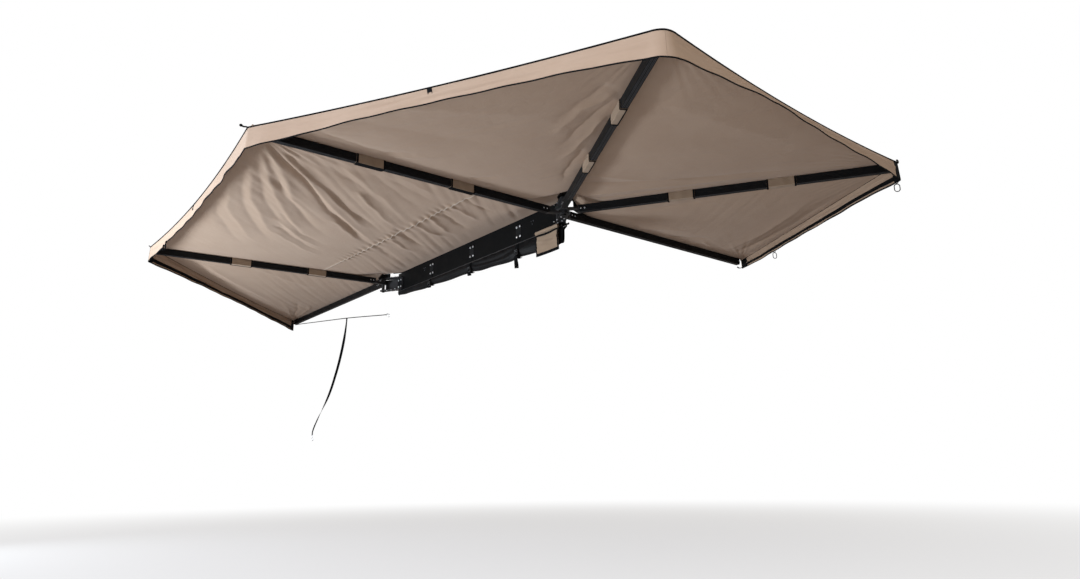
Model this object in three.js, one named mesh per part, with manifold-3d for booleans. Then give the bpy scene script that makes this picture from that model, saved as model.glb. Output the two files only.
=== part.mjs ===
// A vehicle side awning that swings open round two hubs into a sheltering wing.
// Millimetres. The origin is the middle of the mounting face, at the brackets' backs.
// +X is the vehicle's front, +Y is outboard and +Z is up. The arms are modelled open.
import * as THREE from 'three';
import { mergeVertices } from 'three/addons/utils/BufferGeometryUtils.js';
import Module from 'manifold-3d';

const wasm = await Module();
wasm.setup();

// Clearances shared by all the pieces
const seatGap = 0.3;
const stackGap = 0.6;
const overrun = 5;

// Backing rail, a channel open to the vehicle
const railLength = 2390;
const railHeight = 170;
const railDepth = 32;
const railWall = 3;
const railLip = 14;

// Mounting brackets between the rail and the roof rack, three along the rail
const bracketThick = 6;
const bracketWidth = 110;
const bracketHeight = 164;
const bracketPitch = 625;
const bracketMiddle = -35;

// Bolts, set in fours on a thin washer plate
const boltRowGap = 76;
const boltColumnGap = 40;
const boltShankRadius = 4;
const boltHeadRadius = 7;
const boltHeadHeight = 4;
const boltPlateThick = 2;
const boltPlateMargin = 11;
const boltHoleRadius = 4.6;

// Hubs: a bent bracket on each end of the rail, with an upright pin
const pinBeyondRail = 105;
const pinReach = 138;
const pinRadius = 8;
const pinHeadRadius = 13;
const pinHeadHeight = 9;
const pinTail = 3;
const nutHeight = 10;
const spacerRadius = 14;
const bossRadius = 24;
const pinFit = 0.4;
const hubPlateThick = 8;
const hubWebLength = 90;
const hubNoseRadius = 30;
const hubPlateOverhang = 12;
const hubBoltRowGap = 60;
const hubBoltColumnGap = 44;

// Arms: rectangular tubes with a shallow groove in three sides
const tubeWidth = 36;
const tubeHeight = 48;
const tubeWall = 2.4;
const grooveWidth = 10;
const grooveDepth = 1;
const lanePitch = 43;
const levelGap = 6;
const levelMiddle = -13;
const rearArmLength = 2000;
const sideArmLength = 1910;
const frontArmLength = 2240;
const tubeStart = 100;
const lugFlangeThick = 12;
const lugStubLength = 50;

// Arm ends: a plug with a headed peg that the cloth's corner strap loops over
const capThick = 4;
const capPlugLength = 20;
const pegLength = 18;
const pegRadius = 4;
const pegHeadRadius = 8;
const pegHeadThick = 4;

// Fabric wraps that close round the arms
const wrapLength = 175;
const wrapThick = 1.6;
const rearWrapShares = [0.385, 0.69];
const sideWrapShares = [0.33, 0.665];

// Canopy cloth and the valance that hangs from its rim
const clothThick = 1.5;
const clothGap = 0.8;
const clothLift = 5;
const cornerRadius = 90;
const valanceFlare = 6;
const apexRadius = 8;
const leadIn = 250;
const peakRun = 300;
const panelSag = 42;
const droopStart = 0.99;
const droopBlend = 0.3;
const foldHeight = 9;
const railPanelFade = 5;

// Travel cover that hangs open below the rail, its straps and its end pouch
const coverInset = 30;
const coverDepth = 50;
const coverRearDrop = 140;
const coverFrontDrop = 38;
const coverRipple = 3;
const coverRippleLength = 420;
const strapWidth = 25;
const strapThick = 2.2;
const strapTop = 52;
const strapTails = [84, 30, 26];
const buckleWidth = 34;
const buckleHeight = 42;
const buckleThick = 9;
const pouchWidth = 245;
const pouchDrop = 190;
const pouchThick = 5;
const pouchRollRadius = 16;
const pouchInset = 50;

// Snap hooks that hang from the rear corners
const snapWidth = 26;
const snapHeight = 52;
const snapWire = 4;
const snapFromCorner = { c: 50, d: 550 };

// Front guy line and its webbing, each along a route chosen by hand
const guyLineRadius = 4;
const guyStrapWidth = 25;
const guyStrapThick = 2;
const guyHookWire = 6;
const guyHookWidth = 34;
const guyHookHeight = 60;

// Colours of the finishes
const finishes = {
  anodised: [0x1d1f22, 0.45, 0.6],
  coatedSteel: [0x17181a, 0.5, 0.5],
  zinc: [0xb9bcc0, 0.35, 0.9],
  canopy: [0x8a7866, 0.9, 0],
  wrap: [0x9a8775, 0.9, 0],
  cover: [0x141518, 0.65, 0],
  webbing: [0x101113, 0.85, 0],
  plastic: [0x151618, 0.55, 0],
};

function finish(name) {
  const [color, roughness, metalness] = finishes[name];
  return new THREE.MeshStandardMaterial({ color, roughness, metalness });
}

// Places worked out from the driving sizes
const hubSpacing = railLength + 2 * pinBeyondRail;
const coverLength = railLength - 2 * coverInset;
const railBack = bracketThick + seatGap;
const railFront = railBack + railDepth;
const rearLevel = levelMiddle - (tubeHeight + levelGap) / 2;
const frontLevel = levelMiddle + (tubeHeight + levelGap) / 2;
const hubInnerBottom = rearLevel - tubeHeight / 2 - stackGap;
const hubInnerTop = frontLevel + tubeHeight / 2 + stackGap;
const stubWidth = tubeWidth - 2 * (tubeWall + seatGap);
const stubHeight = tubeHeight - 2 * (tubeWall + seatGap);

const degree = Math.PI / 180;
// Each arm: its hub, direction when open, lane beside the pin, length, place in the lug stack and wraps,
// how far the cloth's corner reaches past its end and droops there, and the valance's depth at it
const arms = {
  f: { hub: 'front', angle: 0, lane: -0.5, length: frontArmLength, layer: 1, layers: 2, wraps: [],
    cornerReach: 50, droop: 0, valanceDrop: 118 },
  e: { hub: 'front', angle: 85, lane: 0.5, length: sideArmLength, layer: 0, layers: 2,
    wraps: sideWrapShares, cornerReach: 42, droop: 4, valanceDrop: 118 },
  a: { hub: 'rear', angle: 90, lane: -1.5, length: rearArmLength, layer: 0, layers: 4,
    wraps: rearWrapShares, cornerReach: 50, droop: 18, valanceDrop: 118 },
  b: { hub: 'rear', angle: 151.5, lane: -0.5, length: rearArmLength, layer: 1, layers: 4,
    wraps: rearWrapShares, cornerReach: 50, droop: 8, valanceDrop: 128 },
  c: { hub: 'rear', angle: 212.5, lane: 0.5, length: rearArmLength, layer: 2, layers: 4,
    wraps: rearWrapShares, cornerReach: 30, droop: 4, valanceDrop: 105 },
  d: { hub: 'rear', angle: 271, lane: 1.5, length: rearArmLength, layer: 3, layers: 4, wraps: [],
    cornerReach: 50, droop: 8, valanceDrop: 68 },
};
// Each panel: its arms, its columns and folds, how far its rim bows inward and sags between the arms,
// and the valance's depth there
const panels = {
  fe: { first: 'f', second: 'e', columns: 8, folds: 1, rimPull: 10, rimSag: 25, middleDrop: 80 },
  ea: { first: 'e', second: 'a', columns: 16, folds: 4, rimPull: 40, rimSag: 12, middleDrop: 80 },
  ab: { first: 'a', second: 'b', columns: 8, folds: 2, rimPull: 20, rimSag: 8, middleDrop: 80 },
  bc: { first: 'b', second: 'c', columns: 8, folds: 1, rimPull: 30, rimSag: 13, middleDrop: 80 },
  cd: { first: 'c', second: 'd', columns: 8, folds: 1, rimPull: 15, rimSag: 10, middleDrop: 82 },
};
const hubs = {
  rear: { x: -hubSpacing / 2, toRail: 1, level: rearLevel },
  front: { x: hubSpacing / 2, toRail: -1, level: frontLevel },
};

const awning = new THREE.Group();
awning.name = 'side_awning';

function piece(name, geometry, finishName, parent = awning) {
  const mesh = new THREE.Mesh(geometry, finish(finishName));
  mesh.name = name;
  parent.add(mesh);
  return mesh;
}

// Turns a closed geometry into a solid that can be cut and joined.
function solid(geometry) {
  const bare = geometry.clone();
  bare.deleteAttribute('normal');
  bare.deleteAttribute('uv');
  const merged = mergeVertices(bare);
  return new wasm.Manifold(new wasm.Mesh({
    numProp: 3,
    vertProperties: new Float32Array(merged.attributes.position.array),
    triVerts: new Uint32Array(merged.index.array),
  }));
}

function geometryOf(manifold) {
  const mesh = manifold.getMesh();
  const geometry = new THREE.BufferGeometry();
  geometry.setAttribute('position', new THREE.BufferAttribute(mesh.vertProperties, 3));
  geometry.setIndex(new THREE.BufferAttribute(mesh.triVerts, 1));
  return geometry;
}

function joined(geometries) {
  return geometries.map(solid).reduce((whole, part) => whole.add(part));
}

function box(low, high) {
  const size = high.map((value, axis) => value - low[axis]);
  const geometry = new THREE.BoxGeometry(...size);
  return geometry.translate(...low.map((value, axis) => value + size[axis] / 2));
}

function shapeOf(points) {
  return new THREE.Shape(points.map(([across, up]) => new THREE.Vector2(across, up)));
}

// Extrudes an outline drawn in y and z along x.
function alongX(shape, from, to) {
  const options = { depth: to - from, bevelEnabled: false, curveSegments: 6 };
  const geometry = new THREE.ExtrudeGeometry(shape, options);
  const turn = new THREE.Matrix4().set(0, 0, 1, from, 1, 0, 0, 0, 0, 1, 0, 0, 0, 0, 0, 1);
  return geometry.applyMatrix4(turn);
}

// Extrudes an outline drawn in x and y upwards.
function upwards(shape, from, to) {
  const options = { depth: to - from, bevelEnabled: false, curveSegments: 6 };
  const geometry = new THREE.ExtrudeGeometry(shape, options);
  return geometry.translate(0, 0, from);
}

function cylinderAlongY(radius, from, to, x, z, sides) {
  const geometry = new THREE.CylinderGeometry(radius, radius, to - from, sides);
  return geometry.translate(x, (from + to) / 2, z);
}

function uprightCylinder(radius, from, to, sides) {
  const geometry = new THREE.CylinderGeometry(radius, radius, to - from, sides);
  return geometry.rotateX(Math.PI / 2).translate(0, 0, (from + to) / 2);
}

function rectangle(width, height) {
  return shapeOf([
    [-width / 2, -height / 2], [width / 2, -height / 2], [width / 2, height / 2], [-width / 2, height / 2],
  ]);
}

// Bolt places, as columns along x and rows in z round a middle
function boltPlaces(middleX, middleZ, columnGap, rowGap) {
  const places = [];
  for (const column of [-1, 1]) {
    for (const row of [-1, 1]) {
      places.push([middleX + column * columnGap / 2, middleZ + row * rowGap / 2]);
    }
  }
  return places;
}

const bracketPlaces = [-1, 0, 1].map((step) => bracketMiddle + step * bracketPitch);
const hubBoltSets = Object.values(hubs).map((hub) => ({
  x: hub.x + hub.toRail * (pinBeyondRail + hubWebLength / 2),
  z: levelMiddle,
}));
const boltSides = 6;

function boltHoles(places, from, to) {
  return places.map(([x, z]) => cylinderAlongY(boltHoleRadius, from, to, x, z, boltSides));
}

function makeRail() {
  const half = railHeight / 2;
  const outline = shapeOf([
    [railBack, -half], [railFront, -half], [railFront, half], [railBack, half],
    [railBack, half - railLip], [railBack + railWall, half - railLip],
    [railBack + railWall, half - railWall], [railFront - railWall, half - railWall],
    [railFront - railWall, -half + railWall], [railBack + railWall, -half + railWall],
    [railBack + railWall, -half + railLip], [railBack, -half + railLip],
  ]);
  let rail = solid(alongX(outline, -railLength / 2, railLength / 2));
  const places = bracketPlaces.flatMap((x) => boltPlaces(x, 0, boltColumnGap, boltRowGap));
  places.push(...hubBoltSets.flatMap((set) => boltPlaces(set.x, set.z, hubBoltColumnGap, hubBoltRowGap)));
  for (const hole of boltHoles(places, railFront - railWall - overrun, railFront + overrun)) {
    rail = rail.subtract(solid(hole));
  }
  piece('backing_rail', geometryOf(rail), 'anodised');
}

function makeBolts(name, x, z, columnGap, rowGap, face, shankEnd) {
  const plateWidth = columnGap + 2 * boltPlateMargin;
  const plateHeight = rowGap + 2 * boltPlateMargin;
  const plateFront = face + seatGap + boltPlateThick;
  const parts = [box(
    [x - plateWidth / 2, face + seatGap, z - plateHeight / 2],
    [x + plateWidth / 2, plateFront, z + plateHeight / 2],
  )];
  for (const [boltX, boltZ] of boltPlaces(x, z, columnGap, rowGap)) {
    parts.push(cylinderAlongY(boltShankRadius, shankEnd, plateFront, boltX, boltZ, boltSides));
    parts.push(cylinderAlongY(boltHeadRadius, plateFront - boltPlateThick / 2,
      plateFront + boltHeadHeight, boltX, boltZ, boltSides));
  }
  piece(name, geometryOf(joined(parts)), 'zinc');
}

function makeBrackets() {
  bracketPlaces.forEach((x, index) => {
    let bracket = solid(box(
      [x - bracketWidth / 2, 0, -bracketHeight / 2],
      [x + bracketWidth / 2, bracketThick, bracketHeight / 2],
    ));
    const places = boltPlaces(x, 0, boltColumnGap, boltRowGap);
    for (const hole of boltHoles(places, -overrun, bracketThick + overrun)) {
      bracket = bracket.subtract(solid(hole));
    }
    piece(`mount_bracket_${index + 1}`, geometryOf(bracket), 'coatedSteel');
    makeBolts(`mount_bolts_${index + 1}`, x, 0, boltColumnGap, boltRowGap, railFront, seatGap);
  });
}

// The bracket's outline seen from above: a nose round the pin and a foot along the rail.
function hubPlateOutline(hub) {
  const footEnd = pinBeyondRail + hubWebLength;
  const footFace = railFront + seatGap - pinReach;
  const points = [[pinBeyondRail, footFace], [footEnd, footFace],
    [footEnd, footFace + hubPlateThick + hubPlateOverhang]];
  const noseStart = Math.PI / 4;
  const noseSteps = 6;
  for (let step = 0; step <= noseSteps; step += 1) {
    const angle = noseStart + Math.PI * step / noseSteps;
    points.push([hubNoseRadius * Math.cos(angle), hubNoseRadius * Math.sin(angle)]);
  }
  return shapeOf(points.map(([along, across]) => [hub.x + hub.toRail * along, pinReach + across]));
}

function makeHub(side) {
  const hub = hubs[side];
  const plateBottom = hubInnerBottom - hubPlateThick;
  const plateTop = hubInnerTop + hubPlateThick;
  const outline = hubPlateOutline(hub);
  const footX = [pinBeyondRail, pinBeyondRail + hubWebLength]
    .map((along) => hub.x + hub.toRail * along)
    .sort((left, right) => left - right);
  const webBack = railFront + seatGap;
  let bracket = joined([
    upwards(outline, plateBottom, hubInnerBottom),
    upwards(outline, hubInnerTop, plateTop),
    box([footX[0], webBack, plateBottom], [footX[1], webBack + hubPlateThick, plateTop]),
  ]);
  const bore = uprightCylinder(pinRadius + pinFit, plateBottom - overrun, plateTop + overrun, 16);
  bracket = bracket.subtract(solid(bore.translate(hub.x, pinReach, 0)));
  const middleX = (footX[0] + footX[1]) / 2;
  const places = boltPlaces(middleX, levelMiddle, hubBoltColumnGap, hubBoltRowGap);
  for (const hole of boltHoles(places, webBack - overrun, webBack + hubPlateThick + overrun)) {
    bracket = bracket.subtract(solid(hole));
  }
  piece(`${side}_hub_bracket`, geometryOf(bracket), 'coatedSteel');
  makeBolts(`${side}_hub_bolts`, middleX, levelMiddle, hubBoltColumnGap, hubBoltRowGap,
    webBack + hubPlateThick, railFront - railWall);
  makeHubPin(side, hub, plateBottom, plateTop);
}

function turned(profile, sides) {
  const points = profile.map(([radius, height]) => new THREE.Vector2(radius, height));
  return new THREE.LatheGeometry(points, sides).rotateX(Math.PI / 2);
}

function makeHubPin(side, hub, plateBottom, plateTop) {
  const headTop = plateBottom - seatGap;
  const nutBottom = plateTop + seatGap;
  const pinTop = nutBottom + nutHeight + pinTail;
  const pin = turned([
    [0, headTop - pinHeadHeight], [pinHeadRadius, headTop - pinHeadHeight], [pinHeadRadius, headTop],
    [pinRadius, headTop], [pinRadius, pinTop], [0, pinTop],
  ], 16);
  piece(`${side}_hub_pin`, pin, 'zinc').position.set(hub.x, pinReach, 0);

  const hexagon = new THREE.Shape(Array.from({ length: 6 }, (_, corner) => new THREE.Vector2(
    pinHeadRadius * Math.cos(corner * Math.PI / 3), pinHeadRadius * Math.sin(corner * Math.PI / 3))));
  hexagon.holes.push(new THREE.Path().absarc(0, 0, pinRadius + pinFit, 0, 2 * Math.PI));
  const nut = upwards(hexagon, nutBottom, nutBottom + nutHeight);
  piece(`${side}_hub_nut`, nut, 'zinc').position.set(hub.x, pinReach, 0);

  const stackBottom = hub.level - tubeHeight / 2;
  const above = side === 'rear';
  const spacerBottom = above ? stackBottom + tubeHeight + stackGap : hubInnerBottom + seatGap;
  const spacerTop = above ? hubInnerTop - seatGap : stackBottom - stackGap;
  const inner = pinRadius + pinFit;
  const spacer = turned([
    [inner, spacerBottom], [spacerRadius, spacerBottom], [spacerRadius, spacerTop],
    [inner, spacerTop], [inner, spacerBottom],
  ], 16);
  piece(`${side}_hub_spacer`, spacer, 'anodised').position.set(hub.x, pinReach, 0);
}

// A tube's outline with a shallow groove in the bottom and in both sides
function tubeOutline() {
  const w = tubeWidth / 2;
  const h = tubeHeight / 2;
  const g = grooveWidth / 2;
  const outline = shapeOf([
    [-w, -h], [-g, -h], [-g, -h + grooveDepth], [g, -h + grooveDepth], [g, -h], [w, -h],
    [w, -g], [w - grooveDepth, -g], [w - grooveDepth, g], [w, g], [w, h],
    [-w, h], [-w, g], [-w + grooveDepth, g], [-w + grooveDepth, -g], [-w, -g],
  ]);
  const innerW = w - tubeWall;
  const innerH = h - tubeWall;
  outline.holes.push(new THREE.Path([
    new THREE.Vector2(-innerW, -innerH), new THREE.Vector2(-innerW, innerH),
    new THREE.Vector2(innerW, innerH), new THREE.Vector2(innerW, -innerH),
  ]));
  return outline;
}

// The knuckle that carries an arm on its pin: a bored boss, a cranked link, a flange and a stub
function makeLug(arm, level) {
  const side = arm.lane * lanePitch;
  const layerHeight = tubeHeight / arm.layers;
  const bottom = level - tubeHeight / 2 + arm.layer * layerHeight + stackGap / 2;
  const top = bottom + layerHeight - stackGap;
  const flangeStart = tubeStart - lugFlangeThick;
  const link = shapeOf([
    [0, -bossRadius], [flangeStart, side - tubeWidth / 2],
    [flangeStart, side + tubeWidth / 2], [0, bossRadius],
  ]);
  const lug = joined([
    uprightCylinder(bossRadius, bottom, top, 16),
    upwards(link, bottom, top),
    box([flangeStart - seatGap, side - tubeWidth / 2, level - tubeHeight / 2],
      [tubeStart - seatGap, side + tubeWidth / 2, level + tubeHeight / 2]),
    box([tubeStart - overrun, side - stubWidth / 2, level - stubHeight / 2],
      [tubeStart + lugStubLength, side + stubWidth / 2, level + stubHeight / 2]),
  ]);
  return lug.subtract(solid(uprightCylinder(pinRadius + pinFit, bottom - overrun, top + overrun, 16)));
}

function makeCap(arm, level) {
  const side = arm.lane * lanePitch;
  const end = arm.length + seatGap;
  const cap = joined([
    box([end, side - tubeWidth / 2, level - tubeHeight / 2],
      [end + capThick, side + tubeWidth / 2, level + tubeHeight / 2]),
    box([end - capPlugLength, side - stubWidth / 2, level - stubHeight / 2],
      [end + capThick / 2, side + stubWidth / 2, level + stubHeight / 2]),
  ]);
  const peg = turned([
    [0, 0], [pegRadius, 0], [pegRadius, pegLength], [pegHeadRadius, pegLength],
    [pegHeadRadius, pegLength + pegHeadThick], [0, pegLength + pegHeadThick],
  ], 12);
  return cap.add(solid(peg.rotateY(Math.PI / 2).translate(end + capThick / 2, side, level)));
}

function makeWraps(letter, arm, level, group) {
  const side = arm.lane * lanePitch;
  const innerWidth = tubeWidth + 2 * seatGap;
  const innerHeight = tubeHeight + 2 * seatGap;
  arm.wraps.forEach((share, index) => {
    const sleeve = rectangle(innerWidth + 2 * wrapThick, innerHeight + 2 * wrapThick);
    sleeve.holes.push(new THREE.Path(rectangle(innerWidth, innerHeight).getPoints().reverse()));
    const middle = share * arm.length;
    const geometry = alongX(sleeve, middle - wrapLength / 2, middle + wrapLength / 2);
    piece(`arm_${letter}_wrap_${index + 1}`, geometry, 'wrap', group).position.set(0, side, level);
  });
}

function makeArm(letter) {
  const arm = arms[letter];
  const hub = hubs[arm.hub];
  const group = new THREE.Group();
  group.position.set(hub.x, pinReach, 0);
  group.rotation.z = arm.angle * degree;
  awning.add(group);
  const side = arm.lane * lanePitch;
  const tube = alongX(tubeOutline(), tubeStart, arm.length);
  piece(`arm_${letter}_tube`, tube, 'anodised', group).position.set(0, side, hub.level);
  piece(`arm_${letter}_knuckle`, geometryOf(makeLug(arm, hub.level)), 'coatedSteel', group);
  piece(`arm_${letter}_end_cap`, geometryOf(makeCap(arm, hub.level)), 'plastic', group);
  makeWraps(letter, arm, hub.level, group);
}

const smooth = (value) => {
  const share = Math.min(Math.max(value, 0), 1);
  return share * share * (3 - 2 * share);
};
const between = (from, to, share) => from + (to - from) * share;

// The line where the cloth lies along an arm, from its hub's peak to the corner past the arm's end
function armLine(arm, edgeSide) {
  const hub = hubs[arm.hub];
  const along = new THREE.Vector2(Math.cos(arm.angle * degree), Math.sin(arm.angle * degree));
  const left = new THREE.Vector2(-along.y, along.x);
  const reach = arm.length + arm.cornerReach;
  const clothLevel = hub.level + tubeHeight / 2 + clothLift;
  const peak = railHeight / 2 + clothThick;
  return (share) => {
    const radius = between(apexRadius, reach, share);
    const aside = arm.lane * lanePitch * smooth(radius / leadIn) + edgeSide * clothGap / 2;
    return new THREE.Vector3(
      hub.x + along.x * radius + left.x * aside,
      pinReach + along.y * radius + left.y * aside,
      between(peak, clothLevel, smooth((radius - apexRadius) / peakRun)),
    );
  };
}

// The canopy's rim between two corners: an arc at each corner and a straight run between them
function rimLine(start, startAngle, end, endAngle) {
  const direction = (angle) => new THREE.Vector2(Math.cos(angle), Math.sin(angle));
  const startCentre = new THREE.Vector2(start.x, start.y);
  startCentre.addScaledVector(direction(startAngle), -cornerRadius);
  const endCentre = new THREE.Vector2(end.x, end.y).addScaledVector(direction(endAngle), -cornerRadius);
  const run = endCentre.clone().sub(startCentre);
  const straightAngle = Math.atan2(-run.x, run.y);
  const outward = (startAngle + endAngle) / 2;
  const turns = Math.round((outward - straightAngle) / (2 * Math.PI));
  const square = straightAngle + turns * 2 * Math.PI;
  const startArc = Math.abs(square - startAngle) * cornerRadius;
  const endArc = Math.abs(endAngle - square) * cornerRadius;
  const whole = startArc + run.length() + endArc;
  const at = (share) => {
    const distance = share * whole;
    let angle = square;
    let centre = startCentre.clone();
    if (distance < startArc) {
      angle = between(startAngle, square, distance / startArc);
    } else if (distance > whole - endArc) {
      angle = between(endAngle, square, (whole - distance) / endArc);
      centre = endCentre.clone();
    } else {
      centre.lerp(endCentre, (distance - startArc) / run.length());
    }
    const normal = direction(angle);
    return { place: centre.addScaledVector(normal, cornerRadius), normal };
  };
  return { at, length: whole, startShare: startArc / whole, endShare: 1 - endArc / whole };
}

// Shares across a panel: two steps round each corner arc and even steps between
function columnShares(rim, steps) {
  const shares = [0, rim.startShare / 2];
  for (let step = 0; step <= steps; step += 1) {
    shares.push(between(rim.startShare, rim.endShare, step / steps));
  }
  shares.push((1 + rim.endShare) / 2, 1);
  return shares;
}

// Closes two matching grids of points into one skin.
function skin(outer, inner) {
  const columns = outer.length;
  const rows = outer[0].length;
  const points = [...outer.flat(), ...inner.flat()];
  const offset = columns * rows;
  const index = [];
  const quad = (a, b, c, d) => index.push(a, b, c, a, c, d);
  for (let column = 0; column < columns - 1; column += 1) {
    for (let row = 0; row < rows - 1; row += 1) {
      const a = column * rows + row;
      const b = a + rows;
      quad(a, a + 1, b + 1, b);
      quad(offset + a, offset + b, offset + b + 1, offset + a + 1);
    }
  }
  for (let column = 0; column < columns - 1; column += 1) {
    const a = column * rows;
    const last = a + rows - 1;
    quad(a, a + rows, offset + a + rows, offset + a);
    quad(last + rows, last, offset + last, offset + last + rows);
  }
  for (let row = 0; row < rows - 1; row += 1) {
    const last = (columns - 1) * rows + row;
    quad(row + 1, row, offset + row, offset + row + 1);
    quad(last, last + 1, offset + last + 1, offset + last);
  }
  const geometry = new THREE.BufferGeometry();
  const places = points.flatMap((p) => [p.x, p.y, p.z]);
  geometry.setAttribute('position', new THREE.Float32BufferAttribute(places, 3));
  geometry.setIndex(index);
  return outwardFacing(geometry);
}

function outwardFacing(geometry) {
  const place = geometry.attributes.position;
  const index = geometry.index.array;
  const corner = [0, 1, 2].map(() => new THREE.Vector3());
  let volume = 0;
  for (let face = 0; face < index.length; face += 3) {
    corner.forEach((point, step) => point.fromBufferAttribute(place, index[face + step]));
    volume += corner[0].dot(corner[1].clone().cross(corner[2]));
  }
  if (volume < 0) {
    geometry.setIndex(Array.from(index).reverse());
  }
  return geometry;
}

// Every panel has the same rows, so that neighbours match along the arm they share. The last step
// is short: there the cloth droops past the arm's end.
const panelRows = 10;
const rowShares = [...Array.from({ length: panelRows }, (_, row) => row / panelRows), droopStart, 1];
const valanceRows = 2;

// The edges of the panel between two arms: along each arm, along the rim and along the hem
function panelEdges(panel) {
  const first = arms[panel.first];
  const second = arms[panel.second];
  const firstEdge = armLine(first, 1);
  const secondEdge = armLine(second, -1);
  const rim = rimLine(firstEdge(1), first.angle * degree, secondEdge(1), second.angle * degree);
  const outerEdge = (share) => {
    const { place, normal } = rim.at(share);
    const bow = 4 * share * (1 - share);
    const height = between(firstEdge(1).z, secondEdge(1).z, share) - panel.rimSag * bow;
    const pull = panel.rimPull * bow;
    return new THREE.Vector3(place.x - normal.x * pull, place.y - normal.y * pull, height);
  };
  const drop = (share) => {
    const cornerDrop = between(first.valanceDrop, second.valanceDrop, share);
    return between(cornerDrop, panel.middleDrop, 4 * share * (1 - share));
  };
  const valance = (share, down) => {
    const { normal } = rim.at(share);
    const point = outerEdge(share);
    point.x += normal.x * valanceFlare * down;
    point.y += normal.y * valanceFlare * down;
    point.z -= between(first.droop, second.droop, share) + drop(share) * down;
    return point;
  };
  return { first, second, firstEdge, secondEdge, rim, outerEdge, valance };
}

// One canopy panel between two arms, patched from its four edges, with its valance
function makePanel(name, panel) {
  const { first, second, firstEdge, secondEdge, rim, outerEdge, valance } = panelEdges(panel);
  const alongRail = first.hub !== second.hub;
  const peak = railHeight / 2 + clothThick;
  const innerEdge = (share) => {
    const point = firstEdge(0).lerp(secondEdge(0), share);
    if (alongRail) {
      const cornerShare = 2 * pinBeyondRail / hubSpacing;
      const pull = smooth(Math.min(share, 1 - share) / cornerShare);
      return point.setY(between(point.y, railFront + seatGap + clothThick, pull));
    }
    const angle = between(first.angle, second.angle, share) * degree;
    const hub = hubs[first.hub];
    const onArc = new THREE.Vector3(
      hub.x + apexRadius * Math.cos(angle), pinReach + apexRadius * Math.sin(angle), peak);
    const pull = smooth(4 * Math.min(share, 1 - share));
    return point.lerp(onArc, pull);
  };
  const fade = alongRail ? railPanelFade : 1;
  const surface = (across, out) => {
    const point = innerEdge(across).lerp(outerEdge(across), out);
    const firstBend = firstEdge(out).sub(innerEdge(0).lerp(outerEdge(0), out));
    const secondBend = secondEdge(out).sub(innerEdge(1).lerp(outerEdge(1), out));
    point.addScaledVector(firstBend, (1 - across) ** fade).addScaledVector(secondBend, across ** fade);
    const middle = 4 * across * (1 - across);
    const depth = 4 * out * (1 - out);
    point.z -= panelSag * middle * depth * (alongRail ? 1 : out);
    point.z += foldHeight * Math.sin(2 * Math.PI * panel.folds * (across + out / 2)) * middle * depth;
    const pastArm = smooth((out - droopStart) / (1 - droopStart));
    const open = smooth(Math.min(across, 1 - across) / droopBlend);
    point.z -= between(first.droop, second.droop, across) * between(pastArm, out * out, open);
    return point;
  };
  const outer = [];
  const inner = [];
  for (const across of columnShares(rim, panel.columns)) {
    const { normal } = rim.at(across);
    const outward = new THREE.Vector3(normal.x, normal.y, 0);
    const topLine = [];
    const bottomLine = [];
    for (const out of rowShares) {
      const point = surface(across, out);
      const offset = new THREE.Vector3(0, 0, clothThick / 2);
      if (out === 1) {
        offset.addScaledVector(outward, clothThick / 2);
      }
      topLine.push(point.clone().add(offset));
      bottomLine.push(point.clone().sub(offset));
    }
    for (let row = 1; row <= valanceRows; row += 1) {
      const point = valance(across, row / valanceRows);
      topLine.push(point.clone().addScaledVector(outward, clothThick / 2));
      bottomLine.push(point.clone().addScaledVector(outward, -clothThick / 2));
    }
    outer.push(topLine);
    inner.push(bottomLine);
  }
  piece(name, skin(outer, inner), 'canopy');
}

// Skins a row of matching rings, and closes both ends.
function loft(rings) {
  const count = rings[0].length;
  const flat = rings[0].map((p) => new THREE.Vector2(p.y, p.z));
  if (THREE.ShapeUtils.isClockWise(flat)) {
    flat.reverse();
    rings.forEach((ring) => ring.reverse());
  }
  const index = [];
  for (let ring = 0; ring < rings.length - 1; ring += 1) {
    for (let step = 0; step < count; step += 1) {
      const a = ring * count + step;
      const b = ring * count + (step + 1) % count;
      index.push(a, b, b + count, a, b + count, a + count);
    }
  }
  const last = (rings.length - 1) * count;
  for (const [a, b, c] of THREE.ShapeUtils.triangulateShape(flat, [])) {
    index.push(a, c, b, last + a, last + b, last + c);
  }
  const geometry = new THREE.BufferGeometry();
  geometry.setAttribute('position', new THREE.Float32BufferAttribute(
    rings.flat().flatMap((p) => [p.x, p.y, p.z]), 3));
  geometry.setIndex(index);
  return outwardFacing(geometry);
}

// The open travel cover, bunched below the rail: depth and drop shares round its section
const coverOutlineShares = [
  [0, 0], [0.2, 0], [0.3, 0.12], [0.62, 0.27], [0.95, 0.48], [1, 0.66], [0.86, 0.82], [0.94, 0.93],
  [0.7, 1], [0.42, 0.95], [0.24, 0.98], [0.1, 0.8], [0.14, 0.55], [0.02, 0.3],
];

// It hangs deep at the rear end and is gathered up toward the front
const coverDropAt = (x) => between(coverRearDrop, coverFrontDrop, x / coverLength + 1 / 2);

function makeCover() {
  const top = -railHeight / 2 - seatGap;
  const stations = 18;
  const rings = [];
  for (let station = 0; station <= stations; station += 1) {
    const x = between(-coverLength / 2, coverLength / 2, station / stations);
    const wave = Math.sin(2 * Math.PI * x / coverRippleLength);
    rings.push(coverOutlineShares.map(([depthShare, dropShare]) => new THREE.Vector3(
      x,
      railBack + depthShare * (coverDepth + coverRipple * wave * dropShare),
      top - dropShare * (coverDropAt(x) + coverRipple * wave),
    )));
  }
  piece('travel_cover', loft(rings), 'cover');
}

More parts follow.
